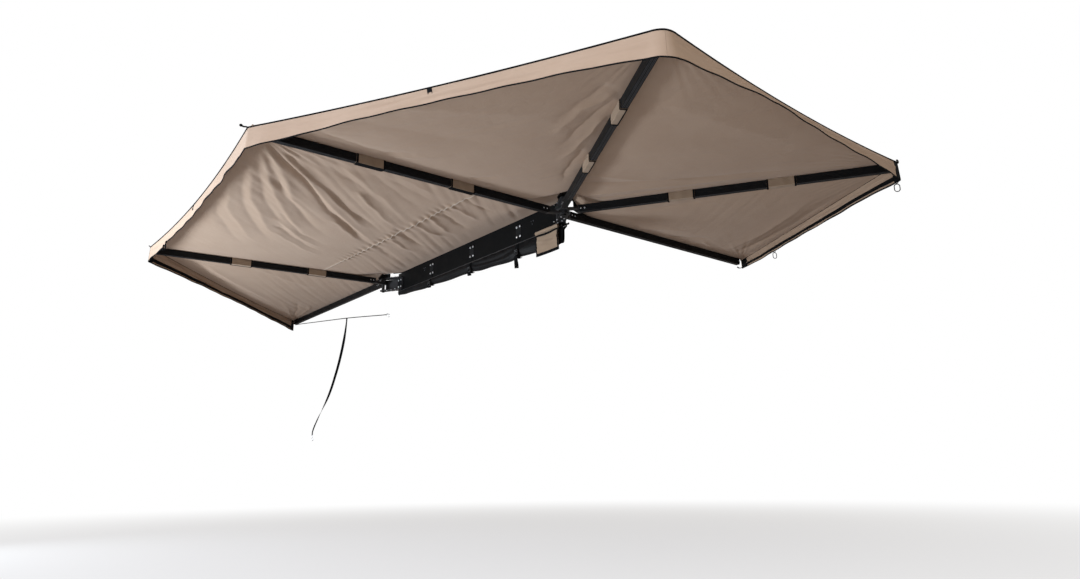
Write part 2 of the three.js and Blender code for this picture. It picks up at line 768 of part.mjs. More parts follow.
// A strap's side outline: its middle line in y and z, given half its thickness to each side
function ribbonOutline(line, thick) {
  const near = [];
  const far = [];
  line.forEach((point, index) => {
    const before = line[Math.max(index - 1, 0)];
    const after = line[Math.min(index + 1, line.length - 1)];
    const run = new THREE.Vector2(after[0] - before[0], after[1] - before[1]).normalize();
    const aside = new THREE.Vector2(-run.y, run.x).multiplyScalar(thick / 2);
    near.push([point[0] + aside.x, point[1] + aside.y]);
    far.unshift([point[0] - aside.x, point[1] - aside.y]);
  });
  return shapeOf([...near, ...far]);
}

function makeCoverStraps() {
  const face = railFront + seatGap + strapThick / 2;
  const coverFront = railBack + coverDepth + coverRipple + seatGap + strapThick;
  const railBottom = -railHeight / 2;
  bracketPlaces.forEach((x, index) => {
    const drop = coverDropAt(x);
    const line = [
      [face, -strapTop], [face, railBottom],
      [between(face, coverFront, 2 / 3), railBottom - drop / 4],
      [coverFront, railBottom - drop / 2], [coverFront, railBottom - drop * 3 / 4],
      [coverFront - strapThick, railBottom - drop],
      [coverFront - 2 * strapThick, railBottom - drop - strapTails[index]],
    ];
    const buckleTop = railBottom - drop / 2;
    const buckle = box(
      [x - buckleWidth / 2, coverFront - strapThick / 2, buckleTop - buckleHeight],
      [x + buckleWidth / 2, coverFront - strapThick / 2 + buckleThick, buckleTop],
    );
    const strap = joined([
      alongX(ribbonOutline(line, strapThick), x - strapWidth / 2, x + strapWidth / 2), buckle,
    ]);
    piece(`cover_strap_${index + 1}`, geometryOf(strap), 'webbing');
  });
}

// The cover's end pouch: a rolled top over a flat flap
function makePouch() {
  const top = hubInnerBottom - hubPlateThick - seatGap;
  const back = railBack + coverDepth + coverRipple + seatGap;
  const rollMiddle = [back + pouchRollRadius, top - pouchRollRadius];
  const outline = [];
  const rollSteps = 8;
  for (let step = 0; step <= rollSteps; step += 1) {
    const angle = -Math.PI / 3 + (3 * Math.PI / 2) * step / rollSteps;
    outline.push([
      rollMiddle[0] + pouchRollRadius * Math.cos(angle), rollMiddle[1] + pouchRollRadius * Math.sin(angle)]);
  }
  outline.push([back, top - pouchDrop], [back + pouchThick, top - pouchDrop],
    [back + pouchThick, top - 2 * pouchRollRadius]);
  const start = -railLength / 2 + pouchInset;
  piece('cover_end_pouch', alongX(shapeOf(outline), start, start + pouchWidth), 'wrap');
}

function link(wire, width, height) {
  const radius = (width - wire) / 2;
  const geometry = new THREE.TorusGeometry(radius, wire / 2, 5, 12);
  return geometry.scale(1, height / width, 1).rotateX(Math.PI / 2);
}

// Snap hooks that hang just below the hem between the two rear arms, near each corner
function makeSnapHooks() {
  const { rim, valance } = panelEdges(panels.cd);
  const shares = { c: snapFromCorner.c / rim.length, d: 1 - snapFromCorner.d / rim.length };
  for (const [letter, share] of Object.entries(shares)) {
    const hem = valance(share, 1);
    const { normal } = rim.at(share);
    const hook = piece(`snap_hook_${letter}`, link(snapWire, snapWidth, snapHeight), 'zinc');
    hook.position.set(hem.x, hem.y, hem.z - snapHeight / 2 - seatGap);
    hook.rotation.z = Math.atan2(normal.y, normal.x);
  }
}

// Routes of the guy line, from under the front arm's end to its rack hook, and of the webbing that
// falls from it to its lower hook
const guyLineRoute = [
  [3542, 116.5, -14.8], [3400, 115.5, -29], [3100, 113, -64], [2800, 111, -99], [2500, 109, -134],
  [2145, 107, -176], [1850, 66, -207], [1650, 36, -229], [1470, 8, -248],
];
const guyStrapRoute = [
  [2145, 107, -180.3], [2152, 107, -234], [2170, 107, -324], [2200, 107, -424], [2245, 107, -534],
  [2300, 107, -644], [2365, 107, -749], [2445, 107, -864], [2535, 107, -964], [2640, 107, -1056],
  [2745, 107, -1144], [2830, 107, -1224], [2868, 107, -1274], [2872, 107, -1309],
];

function routeCurve(route) {
  return new THREE.CatmullRomCurve3(route.map((point) => new THREE.Vector3(...point)));
}

function makeGuy() {
  const sides = 8;
  const round = shapeOf(Array.from({ length: sides }, (_, side) => [
    guyLineRadius * Math.cos(2 * Math.PI * side / sides),
    guyLineRadius * Math.sin(2 * Math.PI * side / sides),
  ]));
  const line = new THREE.ExtrudeGeometry(round, {
    steps: 36, bevelEnabled: false, extrudePath: routeCurve(guyLineRoute),
  });
  piece('guy_line', line, 'webbing');
  const flat = rectangle(guyStrapWidth, guyStrapThick);
  const strap = new THREE.ExtrudeGeometry(flat, {
    steps: 36, bevelEnabled: false, extrudePath: routeCurve(guyStrapRoute),
  });
  piece('guy_strap', strap, 'webbing');
  const rackEnd = guyLineRoute[guyLineRoute.length - 1];
  const rackHook = piece('guy_rack_hook', link(guyHookWire, guyHookWidth, guyHookHeight), 'zinc');
  rackHook.position.set(rackEnd[0] - guyHookHeight / 2 - stackGap, rackEnd[1], rackEnd[2]);
  rackHook.rotation.y = Math.PI / 2;
  const lowEnd = guyStrapRoute[guyStrapRoute.length - 1];
  const lowHook = piece('guy_lower_hook', link(guyHookWire, guyHookWidth, guyHookHeight), 'zinc');
  lowHook.position.set(lowEnd[0], lowEnd[1], lowEnd[2] - guyHookHeight / 2 - stackGap);
}

makeRail();
makeBrackets();
makeHub('rear');
makeHub('front');
Object.keys(arms).forEach(makeArm);
for (const [ends, panel] of Object.entries(panels)) {
  makePanel(`canopy_panel_${ends}`, panel);
}
makeCover();
makeCoverStraps();
makePouch();
makeSnapHooks();
makeGuy();

export default awning;
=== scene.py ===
import math

import bpy
import numpy as np
from mathutils import Matrix, Vector


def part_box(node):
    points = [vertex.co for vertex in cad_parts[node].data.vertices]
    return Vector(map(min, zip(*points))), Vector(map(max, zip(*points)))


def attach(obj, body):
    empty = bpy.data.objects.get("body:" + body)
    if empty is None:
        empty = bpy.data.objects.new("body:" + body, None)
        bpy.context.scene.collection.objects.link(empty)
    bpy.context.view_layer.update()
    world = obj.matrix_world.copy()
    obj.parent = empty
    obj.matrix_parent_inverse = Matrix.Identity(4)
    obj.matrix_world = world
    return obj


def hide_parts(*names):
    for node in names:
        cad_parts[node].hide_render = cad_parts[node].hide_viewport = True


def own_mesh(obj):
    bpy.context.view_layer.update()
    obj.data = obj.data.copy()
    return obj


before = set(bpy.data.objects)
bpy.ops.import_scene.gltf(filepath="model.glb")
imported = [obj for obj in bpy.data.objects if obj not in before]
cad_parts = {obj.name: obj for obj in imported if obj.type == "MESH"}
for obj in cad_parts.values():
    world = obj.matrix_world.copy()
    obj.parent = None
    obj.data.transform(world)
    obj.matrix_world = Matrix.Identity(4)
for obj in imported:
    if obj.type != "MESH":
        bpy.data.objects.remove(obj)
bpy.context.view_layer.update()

# Looks of a vehicle side awning. Metres, in the same frame as the solids:
# +X is the vehicle's front, +Y is outboard and +Z is up.

# Sizes shared with the solids
SEAT_GAP = 0.0003
RAIL_LENGTH = 2.39
RAIL_TOP = 0.085
RAIL_FRONT = 0.0383
HUB_X = 1.3
PIN_REACH = 0.138
HUB_PLATE = 0.008
HUB_BOTTOM = -0.0726
HUB_TOP = 0.0466
LANE_PITCH = 0.043
TUBE_WIDTH = 0.036
TUBE_HEIGHT = 0.048
TUBE_START = 0.1
CLOTH_LIFT = 0.005
CLOTH_THICK = 0.0015
CLOTH_GAP = 0.0008
LEAD_IN = 0.25
PEAK_RUN = 0.3
APEX_RADIUS = 0.008
VALANCE_FLARE = 0.006
PANEL_SAG = 0.042
DROOP_START = 0.99
DROOP_BLEND = 0.3
RAIL_PANEL_FADE = 5
SEAM_PLACE = 0.72
BRACKET_PLACES = (-0.66, -0.035, 0.59)
BOLT_COLUMN_GAP = 0.04
BOLT_ROW_GAP = 0.076
HUB_BOLT_COLUMN_GAP = 0.044
HUB_BOLT_ROW_GAP = 0.06

# Each arm: its hub, direction in degrees when open, lane beside the pin, and length
ARMS = {
    "f": ("front", 0, -0.5, 2.24),
    "e": ("front", 85, 0.5, 1.91),
    "a": ("rear", 90, -1.5, 2.0),
    "b": ("rear", 151.5, -0.5, 2.0),
    "c": ("rear", 212.5, 0.5, 2.0),
    "d": ("rear", 271, 1.5, 2.0),
}
# How far the cloth's corner reaches past each arm's end and droops there, and the valance's depth at it
CORNERS = {
    "f": (0.05, 0.0, 0.118), "e": (0.042, 0.004, 0.118), "a": (0.05, 0.018, 0.118), "b": (0.05, 0.008, 0.128),
    "c": (0.03, 0.004, 0.105), "d": (0.05, 0.008, 0.068),
}
# How far the rim between two arms bows inward and sags, and the valance's depth there
RIMS = {
    "fe": (0.01, 0.025, 0.08), "ea": (0.04, 0.012, 0.08), "ab": (0.02, 0.008, 0.08), "bc": (0.03, 0.013, 0.08),
    "cd": (0.015, 0.01, 0.082),
}
HUBS = {"rear": (-HUB_X, -0.04), "front": (HUB_X, 0.014)}
WRAPPED_ARMS = ("e", "a", "b", "c")

# Each panel: the arms on its two sides, the body it rides on, the joint that folds it away, and the arm
# and lane beside it that it flattens into, which the side panel has none of
PANELS = {
    "canopy_panel_fe": ("f", "e", "arm_f", "fold_arm_f", "f", 0.0),
    "canopy_panel_ea": ("e", "a", "frame", "fold_arm_a", None, 0.0),
    "canopy_panel_ab": ("a", "b", "arm_b", "fold_arm_b", "b", -LANE_PITCH),
    "canopy_panel_bc": ("b", "c", "arm_c", "fold_arm_c", "c", 0.0),
    "canopy_panel_cd": ("c", "d", "arm_d", "fold_arm_d", "d", LANE_PITCH),
}
SIDE_PANEL = "canopy_panel_ea"

# How round the cloth is at each arm's corner
CORNER_RADIUS = {"f": 0.025, "e": 0.03, "a": 0.025, "b": 0.095, "c": 0.04, "d": 0.025}

CAMERA_PLACE = (-4.826, 3.202, -1.755)
CAMERA_HEADING = -38.88
CAMERA_PITCH = 14.07
CAMERA_ROLL = -0.90
CAMERA_FAR = 200
CAMERA_FOCAL_PIXELS = 741.3
PICTURE_WIDTH = 1080
SENSOR_WIDTH = 36
FLOOR_LEVEL = -2.2

# The guy line from under the front arm's end to the rack, and the webbing that falls from it
GUY_LINE_ROUTE = [
    (3.542, 0.1165, -0.0148), (3.4, 0.1155, -0.029), (3.1, 0.113, -0.064), (2.8, 0.111, -0.099),
    (2.5, 0.109, -0.134), (2.145, 0.107, -0.176), (1.85, 0.066, -0.207), (1.65, 0.036, -0.229),
    (1.47, 0.008, -0.248),
]
GUY_STRAP_ROUTE = [
    (2.145, 0.107, -0.1803), (2.152, 0.107, -0.234), (2.17, 0.107, -0.324), (2.2, 0.107, -0.424),
    (2.245, 0.107, -0.534), (2.3, 0.107, -0.644), (2.365, 0.107, -0.749), (2.445, 0.107, -0.864),
    (2.535, 0.107, -0.964), (2.64, 0.107, -1.056), (2.745, 0.107, -1.144), (2.83, 0.107, -1.224),
    (2.868, 0.107, -1.274), (2.872, 0.107, -1.309),
]
GUY_LINE_RADIUS = 0.004
GUY_STRAP_WIDTH = 0.025
GUY_STRAP_THICK = 0.002
# How far the webbing has twisted along its length, in half turns
GUY_TWIST_SHARES = [0.0, 0.02, 0.12, 0.3, 0.42, 0.47, 0.5, 0.52, 0.6, 0.78, 0.95, 1.0, 1.0, 1.0]

TURN = 2 * math.pi


def smooth(value):
    """A share from 0 to 1 that starts and ends gently."""
    share = np.clip(value, 0, 1)
    return share * share * (3 - 2 * share)


def between(start, end, share):
    """The value at a share of the way from one value to another."""
    return start + (end - start) * share


def full_turn(steps):
    """Angles round a full turn."""
    return np.linspace(0, TURN, steps, endpoint=False)


def length_of(route):
    """Length along a row of points."""
    return float(np.linalg.norm(np.diff(route, axis=0), axis=1).sum())


def middle_of(node):
    """The middle of a solid's box."""
    low, high = np.array(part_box(node))
    return (low + high) / 2


# Meshes


def add_object(name, data):
    """An object that shows some data in the scene."""
    piece = bpy.data.objects.new(name, data)
    bpy.context.scene.collection.objects.link(piece)
    return piece


def make_mesh(name, points, faces, material, uv=None, smooth_angle=40):
    """Makes an object from points and faces, shaded smooth up to an angle between faces."""
    mesh = bpy.data.meshes.new(name)
    mesh.from_pydata([tuple(map(float, point)) for point in points], [], [tuple(map(int, f)) for f in faces])
    mesh.update()
    mesh.materials.append(material)
    if uv is not None:
        layer = mesh.uv_layers.new(name="UVMap")
        corners = np.zeros(len(mesh.loops), np.int32)
        mesh.loops.foreach_get("vertex_index", corners)
        layer.data.foreach_set("uv", np.asarray(uv, np.float32)[corners].ravel())
    mesh.polygons.foreach_set("use_smooth", [True] * len(mesh.polygons))
    mesh.set_sharp_from_angle(angle=math.radians(smooth_angle))
    return add_object(name, mesh)


def grid_normals(grid):
    """Unit normals of a grid of points, columns by rows."""
    normal = np.cross(np.gradient(grid, axis=0), np.gradient(grid, axis=1))
    return normal / np.maximum(np.linalg.norm(normal, axis=2, keepdims=True), 1e-9)


def sheet_mesh(name, grid, thick, material, uv=None, smooth_angle=50):
    """Closes a grid of points, columns by rows, into a sheet of that thickness."""
    columns, rows = grid.shape[:2]
    offset = grid_normals(grid) * thick / 2
    points = np.concatenate([(grid + offset).reshape(-1, 3), (grid - offset).reshape(-1, 3)])
    count = columns * rows
    index = np.arange(count).reshape(columns, rows)
    a, b = index[:-1, :-1].ravel(), index[1:, :-1].ravel()
    c, d = index[1:, 1:].ravel(), index[:-1, 1:].ravel()
    top = np.stack([a, b, c, d], 1)
    bottom = np.stack([a, d, c, b], 1) + count
    rim = np.concatenate([index[:, 0], index[-1, 1:], index[-2::-1, -1], index[0, -2:0:-1]])
    following = np.roll(rim, -1)
    edge = np.stack([rim, rim + count, following + count, following], 1)
    uvs = None if uv is None else np.concatenate([uv.reshape(-1, 2)] * 2)
    return make_mesh(name, points, np.concatenate([top, bottom, edge]), material, uvs, smooth_angle)


def tube_cloth(name, grid, thick, material, size):
    """Cloth that closes round on itself along its second direction, with open ends."""
    columns, sides = grid.shape[:2]
    outward = grid - grid.mean(axis=1, keepdims=True)
    outward /= np.linalg.norm(outward, axis=2, keepdims=True)
    outer, inner = grid + outward * thick / 2, grid - outward * thick / 2
    points = np.concatenate([outer.reshape(-1, 3), inner.reshape(-1, 3)])
    count = columns * sides
    index = np.arange(count).reshape(columns, sides)
    following = np.roll(index, -1, axis=1)
    a, b, c, d = index[:-1].ravel(), index[1:].ravel(), following[1:].ravel(), following[:-1].ravel()
    faces = [np.stack([a, d, c, b], 1), np.stack([a, b, c, d], 1) + count]
    for end, flip in ((0, False), (-1, True)):
        ring, after = index[end], following[end]
        cap = [ring, ring + count, after + count, after]
        faces.append(np.stack(cap[::-1] if flip else cap, 1))
    length, around = np.linspace(0, size[0], columns), np.linspace(0, size[1], sides)
    uv = np.stack(np.meshgrid(length, around, indexing="ij"), -1)
    uvs = np.concatenate([uv.reshape(-1, 2)] * 2)
    return make_mesh(name, points, np.concatenate(faces), material, uvs, 45)


def sweep(name, path, section, material, closed=False, ups=(0.0, 0.0, 1.0), turns=None):
    """Sweeps a section of (aside, up) points along a path and closes its ends. There is one up
    direction for the whole path, or one at each point."""
    path = np.asarray(path, float)
    section = np.asarray(section, float)
    if closed:
        run = np.roll(path, -1, axis=0) - np.roll(path, 1, axis=0)
    else:
        run = np.gradient(path, axis=0)
    run /= np.maximum(np.linalg.norm(run, axis=1, keepdims=True), 1e-9)
    aside = np.cross(run, np.broadcast_to(np.asarray(ups, float), path.shape))
    aside /= np.maximum(np.linalg.norm(aside, axis=1, keepdims=True), 1e-9)
    up = np.cross(aside, run)
    if turns is not None:
        angle = TURN * np.asarray(turns)[:, None]
        aside, up = aside * np.cos(angle) + up * np.sin(angle), up * np.cos(angle) - aside * np.sin(angle)
    rings = path[:, None] + aside[:, None] * section[None, :, :1] + up[:, None] * section[None, :, 1:]
    count, size = len(path), len(section)
    index = np.arange(count * size).reshape(count, size)
    following = np.roll(index, -1, axis=0)
    if not closed:
        index, following = index[:-1], following[:-1]
    faces = np.stack([index, np.roll(index, -1, axis=1), np.roll(following, -1, axis=1), following], 2)
    faces = faces.reshape(-1, 4).tolist()
    if not closed:
        faces.append(list(range(size))[::-1])
        faces.append(list(range((count - 1) * size, count * size)))
    return make_mesh(name, rings.reshape(-1, 3), faces, material)


def round_section(radius, sides=10):
    """A round section for a sweep, as (aside, up)."""
    angle = full_turn(sides)
    return np.stack([radius * np.cos(angle), radius * np.sin(angle)], 1)


def flat_section(width, thick):
    """A flat section for a sweep, as (aside, up)."""
    return [(-width / 2, -thick / 2), (width / 2, -thick / 2), (width / 2, thick / 2), (-width / 2, thick / 2)]


def turned(name, profile, place, axis, material, sides=24):
    """Turns a profile of (radius, height) points round an axis through a place."""
    points = [(r * math.cos(t), r * math.sin(t), h) for r, h in profile for t in full_turn(sides)]
    faces = []
    for ring in range(len(profile) - 1):
        for side in range(sides):
            a, b = ring * sides + side, ring * sides + (side + 1) % sides
            faces.append((a, b, b + sides, a + sides))
    faces.append(tuple(range(sides))[::-1])
    faces.append(tuple(range((len(profile) - 1) * sides, len(profile) * sides)))
    piece = make_mesh(name, points, faces, material, None, 35)
    turn = Vector((0, 0, 1)).rotation_difference(Vector(axis)).to_matrix().to_4x4()
    piece.data.transform(Matrix.Translation(Vector(place)) @ turn)
    return piece


def rounded_loop(width, height, corner, steps=6):
    """Points round a rectangle with round corners, as (aside, up)."""
    points = []
    for x, y, start in ((1, 1, 0.0), (-1, 1, 0.5), (-1, -1, 1.0), (1, -1, 1.5)):
        for step in range(steps):
            turn = math.pi * (start + step / (steps - 1) / 2)
            points.append((x * (width / 2 - corner) + corner * math.cos(turn),
                           y * (height / 2 - corner) + corner * math.sin(turn)))
    return np.array(points)


def joined(name, pieces):
    """Joins pieces into the first of them, under a new name."""
    bpy.ops.object.select_all(action="DESELECT")
    for piece in pieces:
        piece.select_set(True)
    bpy.context.view_layer.objects.active = pieces[0]
    bpy.ops.object.join()
    pieces[0].name = name
    pieces[0].data.name = name
    return pieces[0]


def along_curve(points, steps):
    """Points of a smooth curve through some points."""
    points = np.asarray(points, float)
    padded = np.concatenate([[2 * points[0] - points[1]], points, [2 * points[-1] - points[-2]]])
    found = []
    for spot in np.linspace(0, len(points) - 1, steps):
        start = min(int(spot), len(points) - 2)
        t = spot - start
        p0, p1, p2, p3 = padded[start:start + 4]
        found.append(0.5 * (2 * p1 + (p2 - p0) * t + (2 * p0 - 5 * p1 + 4 * p2 - p3) * t ** 2
                            + (3 * p1 - p0 - 3 * p2 + p3) * t ** 3))
    return np.array(found)


def dress(piece, body, finish, *nodes):
    """Makes a piece ride on a body, in place of some solids. The finish is not used."""
    if nodes:
        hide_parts(*nodes)
    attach(piece, body)
    return piece


# Materials

# A wave texture's period in metres where its scale is one
WAVE_PERIOD = 0.315
DAYLIT_CANVAS = "C09C7C"


def colour(hexes):
    """sRGB hex to the linear colour that a shader takes."""
    parts = [int(hexes[step:step + 2], 16) / 255 for step in (0, 2, 4)]
    return tuple(p / 12.92 if p <= 0.04045 else ((p + 0.055) / 1.055) ** 2.4 for p in parts) + (1.0,)


def add_node(tree, kind, values=None, links=None, **options):
    """Adds a node with its options, input values and links from other nodes' outputs."""
    node = tree.nodes.new(kind)
    for name, option in options.items():
        setattr(node, name, option)
    for name, value in (values or {}).items():
        node.inputs[name].default_value = value
    for name, source in (links or {}).items():
        tree.links.new(source, node.inputs[name])
    return node


def start_material(name, base, roughness, metallic=0.0, ior=1.5):
    """A material with its tree, its shader and coordinates in metres that stay with the piece."""
    made = bpy.data.materials.new(name)
    made.use_nodes = True
    made.diffuse_color = colour(base)
    tree = made.node_tree
    shader = tree.nodes["Principled BSDF"]
    shader.inputs["Base Color"].default_value = colour(base)
    shader.inputs["Roughness"].default_value = roughness
    shader.inputs["Metallic"].default_value = metallic
    shader.inputs["IOR"].default_value = ior
    return made, tree, shader, add_node(tree, "ShaderNodeTexCoord").outputs["Object"]


def noise(tree, place, size_mm, detail=3.0, distortion=0.0):
    """Noise in patches of a size."""
    values = {"Scale": 1000 / size_mm, "Detail": detail, "Distortion": distortion}
    return add_node(tree, "ShaderNodeTexNoise", values, {"Vector": place}).outputs["Fac"]


def wave(tree, place, size_mm, direction="X", distortion=0.0, detail=2.0):
    """Waves of a size, along a direction."""
    values = {"Scale": 1000 / size_mm * WAVE_PERIOD, "Distortion": distortion, "Detail": detail}
    made = add_node(tree, "ShaderNodeTexWave", values, {"Vector": place}, bands_direction=direction)
    return made.outputs["Fac"]


def link_gloss(tree, shader, pattern, low, high, dip=0.0, peak=1.0):
    """Varies the roughness between two values, over a pattern's range."""
    values = {"From Min": dip, "From Max": peak, "To Min": low, "To Max": high}
    gloss = add_node(tree, "ShaderNodeMapRange", values, {"Value": pattern})
    tree.links.new(gloss.outputs[0], shader.inputs["Roughness"])


def link_tone(tree, shader, pattern, light, dark):
    """Varies the base colour between two hex colours."""
    tone = add_node(tree, "ShaderNodeMix", {6: colour(dark), 7: colour(light)}, {0: pattern}, data_type="RGBA")
    tree.links.new(tone.outputs[2], shader.inputs["Base Color"])


def bumps(tree, pattern, strength, height_mm, under=None):
    """Bumps of a height from a pattern, over finer ones where some are given."""
    links = {"Height": pattern} if under is None else {"Height": pattern, "Normal": under}
    values = {"Strength": strength, "Distance": height_mm / 1000}
    return add_node(tree, "ShaderNodeBump", values, links).outputs[0]


def anodised_aluminium(name, light, dark, specular):
    """Extruded aluminium, black anodised: satin, with fine die lines along its length."""
    made, tree, shader, place = start_material(name, light, 0.5)
    shader.inputs["Specular IOR Level"].default_value = specular
    link_gloss(tree, shader, noise(tree, place, 90), 0.46, 0.6, 0.3, 0.7)
    link_tone(tree, shader, noise(tree, place, 120, 2.0), light, dark)
    # Die lines are 0.2 mm apart on the real tube; 4 mm is as fine as shows
    drawn_out = add_node(tree, "ShaderNodeMapping", {"Scale": (2.0, 2.0, 260.0)}, {"Vector": place})
    lines = noise(tree, drawn_out.outputs[0], 1000)
    tree.links.new(bumps(tree, lines, 0.25, 0.2), shader.inputs["Normal"])
    return made


def painted_highlight_aluminium():
    """Grey, half-bright aluminium along the tubes' lower ribs: its lighter colour is painted highlight,
    standing in for the light that the ribs catch. The rail's rivets are drawn in it too.
    """
    made, tree, shader, place = start_material("painted_highlight_grey_aluminium", "4A4D51", 0.42, 0.9)
    link_tone(tree, shader, noise(tree, place, 35), "5E6267", "3A3D41")
    return made


def powder_coated_steel():
    """Bent steel plate, powder coated: black, half matt, with a faint orange peel."""
    made, tree, shader, place = start_material("powder_coated_steel", "151618", 0.5)
    link_tone(tree, shader, noise(tree, place, 60), "1B1C1F", "121315")
    peel = noise(tree, place, 2.5, 2.0)
    tree.links.new(bumps(tree, peel, 0.3, 0.2), shader.inputs["Normal"])
    return made


def plated_steel(name, base, low, high):
    """Steel fasteners, zinc plated: bright, or dark where the plating is black, and slightly cloudy."""
    made, tree, shader, place = start_material(name, base, (low + high) / 2, 1.0)
    link_gloss(tree, shader, noise(tree, place, 8), low, high)
    return made


def ripstop_canvas(name, light, dark):
    """Woven polycotton ripstop canvas: matt and dry, with a faint grid of thicker threads, and it lets
    some daylight through."""
    made, tree, shader, place = start_material(name, light, 0.9)
    shader.inputs["Sheen Weight"].default_value = 0.12
    shader.inputs["Sheen Roughness"].default_value = 0.6
    link_tone(tree, shader, noise(tree, place, 260, 5.0), light, dark)
    # The grid is 5 mm in the real cloth, drawn at 12 mm so that it shows
    flat = add_node(tree, "ShaderNodeTexCoord").outputs["UV"]
    rows, columns = (wave(tree, flat, 12, direction, 0.4, 1.0) for direction in ("X", "Y"))
    threads = add_node(tree, "ShaderNodeMath", None, {0: rows, 1: columns}, operation="MAXIMUM")
    # Slack crumples between the folds, about 60 mm across
    crumple = noise(tree, place, 60, 4.0, 0.6)
    relief = bumps(tree, crumple, 0.35, 6, bumps(tree, threads.outputs[0], 0.1, 0.3))
    tree.links.new(relief, shader.inputs["Normal"])
    glow = add_node(tree, "ShaderNodeBsdfTranslucent", {"Color": colour(DAYLIT_CANVAS)}, {"Normal": relief})
    cloth = add_node(tree, "ShaderNodeMixShader", {0: 0.16}, {1: shader.outputs[0], 2: glow.outputs[0]})
    tree.links.new(cloth.outputs[0], tree.nodes["Material Output"].inputs["Surface"])
    return made


def coated_cover_cloth():
    """PVC-coated polyester: black, soft gloss, with a fine leathery grain."""
    made, tree, shader, place = start_material("pvc_coated_cloth", "0C0D0E", 0.56)
    shader.inputs["Specular IOR Level"].default_value = 0.12
    link_tone(tree, shader, noise(tree, place, 80), "111214", "090A0B")
    grain = add_node(tree, "ShaderNodeTexVoronoi", {"Scale": 1000 / 4}, {"Vector": place})
    creases = noise(tree, place, 45, 4.0, 0.8)
    relief = bumps(tree, creases, 0.5, 6, bumps(tree, grain.outputs["Distance"], 0.2, 0.3))
    tree.links.new(relief, shader.inputs["Normal"])
    return made


def woven_webbing():
    """Woven polypropylene webbing: black, dull, with close ribs across it."""
    made, tree, shader, place = start_material("polypropylene_webbing", "0C0D0E", 0.9)
    shader.inputs["Specular IOR Level"].default_value = 0.08
    link_tone(tree, shader, noise(tree, place, 12, 2.0), "111214", "08090A")
    # Ribs are 1.5 mm apart on the real webbing, drawn at 3 mm so that they show
    ribs = wave(tree, place, 3, "DIAGONAL", 0.5)
    tree.links.new(bumps(tree, ribs, 0.4, 0.4), shader.inputs["Normal"])
    return made


def moulded_nylon():
    """Injection-moulded nylon: black, satin, faintly textured."""
    made, tree, shader, place = start_material("moulded_nylon", "17181A", 0.48, 0.0, 1.53)
    link_tone(tree, shader, noise(tree, place, 30, 2.0), "1C1D1F", "131416")
    spark = noise(tree, place, 1.2, 2.0)
    tree.links.new(bumps(tree, spark, 0.25, 0.2), shader.inputs["Normal"])
    return made


def sewing_thread():
    """Bonded polyester thread: pale taupe, slightly shiny, twisted."""
    made, tree, shader, place = start_material("polyester_thread", "C4B6A4", 0.6)
    link_tone(tree, shader, wave(tree, place, 8), "CFC3B3", "A8998A")
    return made


ANODISED = anodised_aluminium("anodised_aluminium", "121416", "0B0D0F", 0.16)
# The rail's copy of the anodised finish is darker and duller than the arms': painted shade, for the shade it
# sits in under the canopy
SHADED_RAIL_ANODISED = anodised_aluminium("anodised_aluminium_rail_painted_shade", "0C0D0E", "070809", 0.07)
# Grey for the arm tubes' lower ribs: a painted highlight
PAINTED_HIGHLIGHT_ALUMINIUM = painted_highlight_aluminium()
POWDER_COAT = powder_coated_steel()
ZINC = plated_steel("zinc_plated_steel", "E2E5E9", 0.2, 0.42)
DARK_ZINC = plated_steel("black_zinc_plated_steel", "2C2E31", 0.26, 0.46)
CANVAS = ripstop_canvas("ripstop_canvas", "AE9883", "A18973")
# A darker copy of the canopy's canvas for the arm wraps and the pouch, which are the same cloth: painted shade
SHADED_WRAP_CANVAS = ripstop_canvas("ripstop_canvas_wraps_painted_shade", "A6917B", "95806A")
COVER_CLOTH = coated_cover_cloth()
WEBBING = woven_webbing()
NYLON = moulded_nylon()
THREAD = sewing_thread()


# Camera, lamps and floor

FLOOR_HALF = 60.0
# The floor fades from grey to white between these distances, and how white it is at the first
FLOOR_FADE = (2.0, 9.0)
FLOOR_NEAR_WHITE = 0.55
WHITE = (1, 1, 1, 1)
# Lamps: name, place, the place each is aimed at, size, power, tint, and spread in degrees
LAMPS = (
    ("key", (-1.8, 9.4, 2.2), (-0.5, 1.0, 0.0), 2.0, 930, "E2ECFF", 180),
    ("low_fill", (2.1, 4.4, -1.6), (-0.3, 1.4, 0.0), 1.0, 134, "E8F0F8", 130),
    ("rear_fill", (-9.0, 4.5, 0.9), (-2.0, 0.5, -0.1), 2.0, 235, "FFFFFF", 180),
)


def make_camera():
    """The photograph's camera, found from the hubs and the arms' ends."""
    lens = bpy.data.cameras.new("camera")
    lens.sensor_width = SENSOR_WIDTH
    lens.lens = CAMERA_FOCAL_PIXELS / PICTURE_WIDTH * SENSOR_WIDTH
    lens.clip_end = CAMERA_FAR
    camera = add_object("camera", lens)
    heading_angle, pitch = math.radians(CAMERA_HEADING), math.radians(CAMERA_PITCH)
    level = math.cos(pitch)
    ahead = Vector((math.cos(heading_angle) * level, math.sin(heading_angle) * level, math.sin(pitch)))
    right = ahead.cross(Vector((0, 0, 1))).normalized()
    up = right.cross(ahead)
    roll = math.radians(CAMERA_ROLL)
    right, up = right * math.cos(roll) + up * math.sin(roll), up * math.cos(roll) - right * math.sin(roll)
    turn = Matrix((right, up, -ahead)).transposed().to_4x4()
    camera.matrix_world = Matrix.Translation(Vector(CAMERA_PLACE)) @ turn
    bpy.context.scene.camera = camera


def make_lamp(name, place, target, size, power, tint, spread):
    """A round soft lamp at a place, aimed at another."""
    lamp = bpy.data.lights.new(name, "AREA")
    lamp.shape = "DISK"
    lamp.size = size
    lamp.energy = power
    lamp.color = colour(tint)[:3]
    lamp.spread = math.radians(spread)
    holder = add_object(name, lamp)
    holder.location = place
    holder.rotation_euler = (Vector(target) - Vector(place)).to_track_quat("-Z", "Y").to_euler()


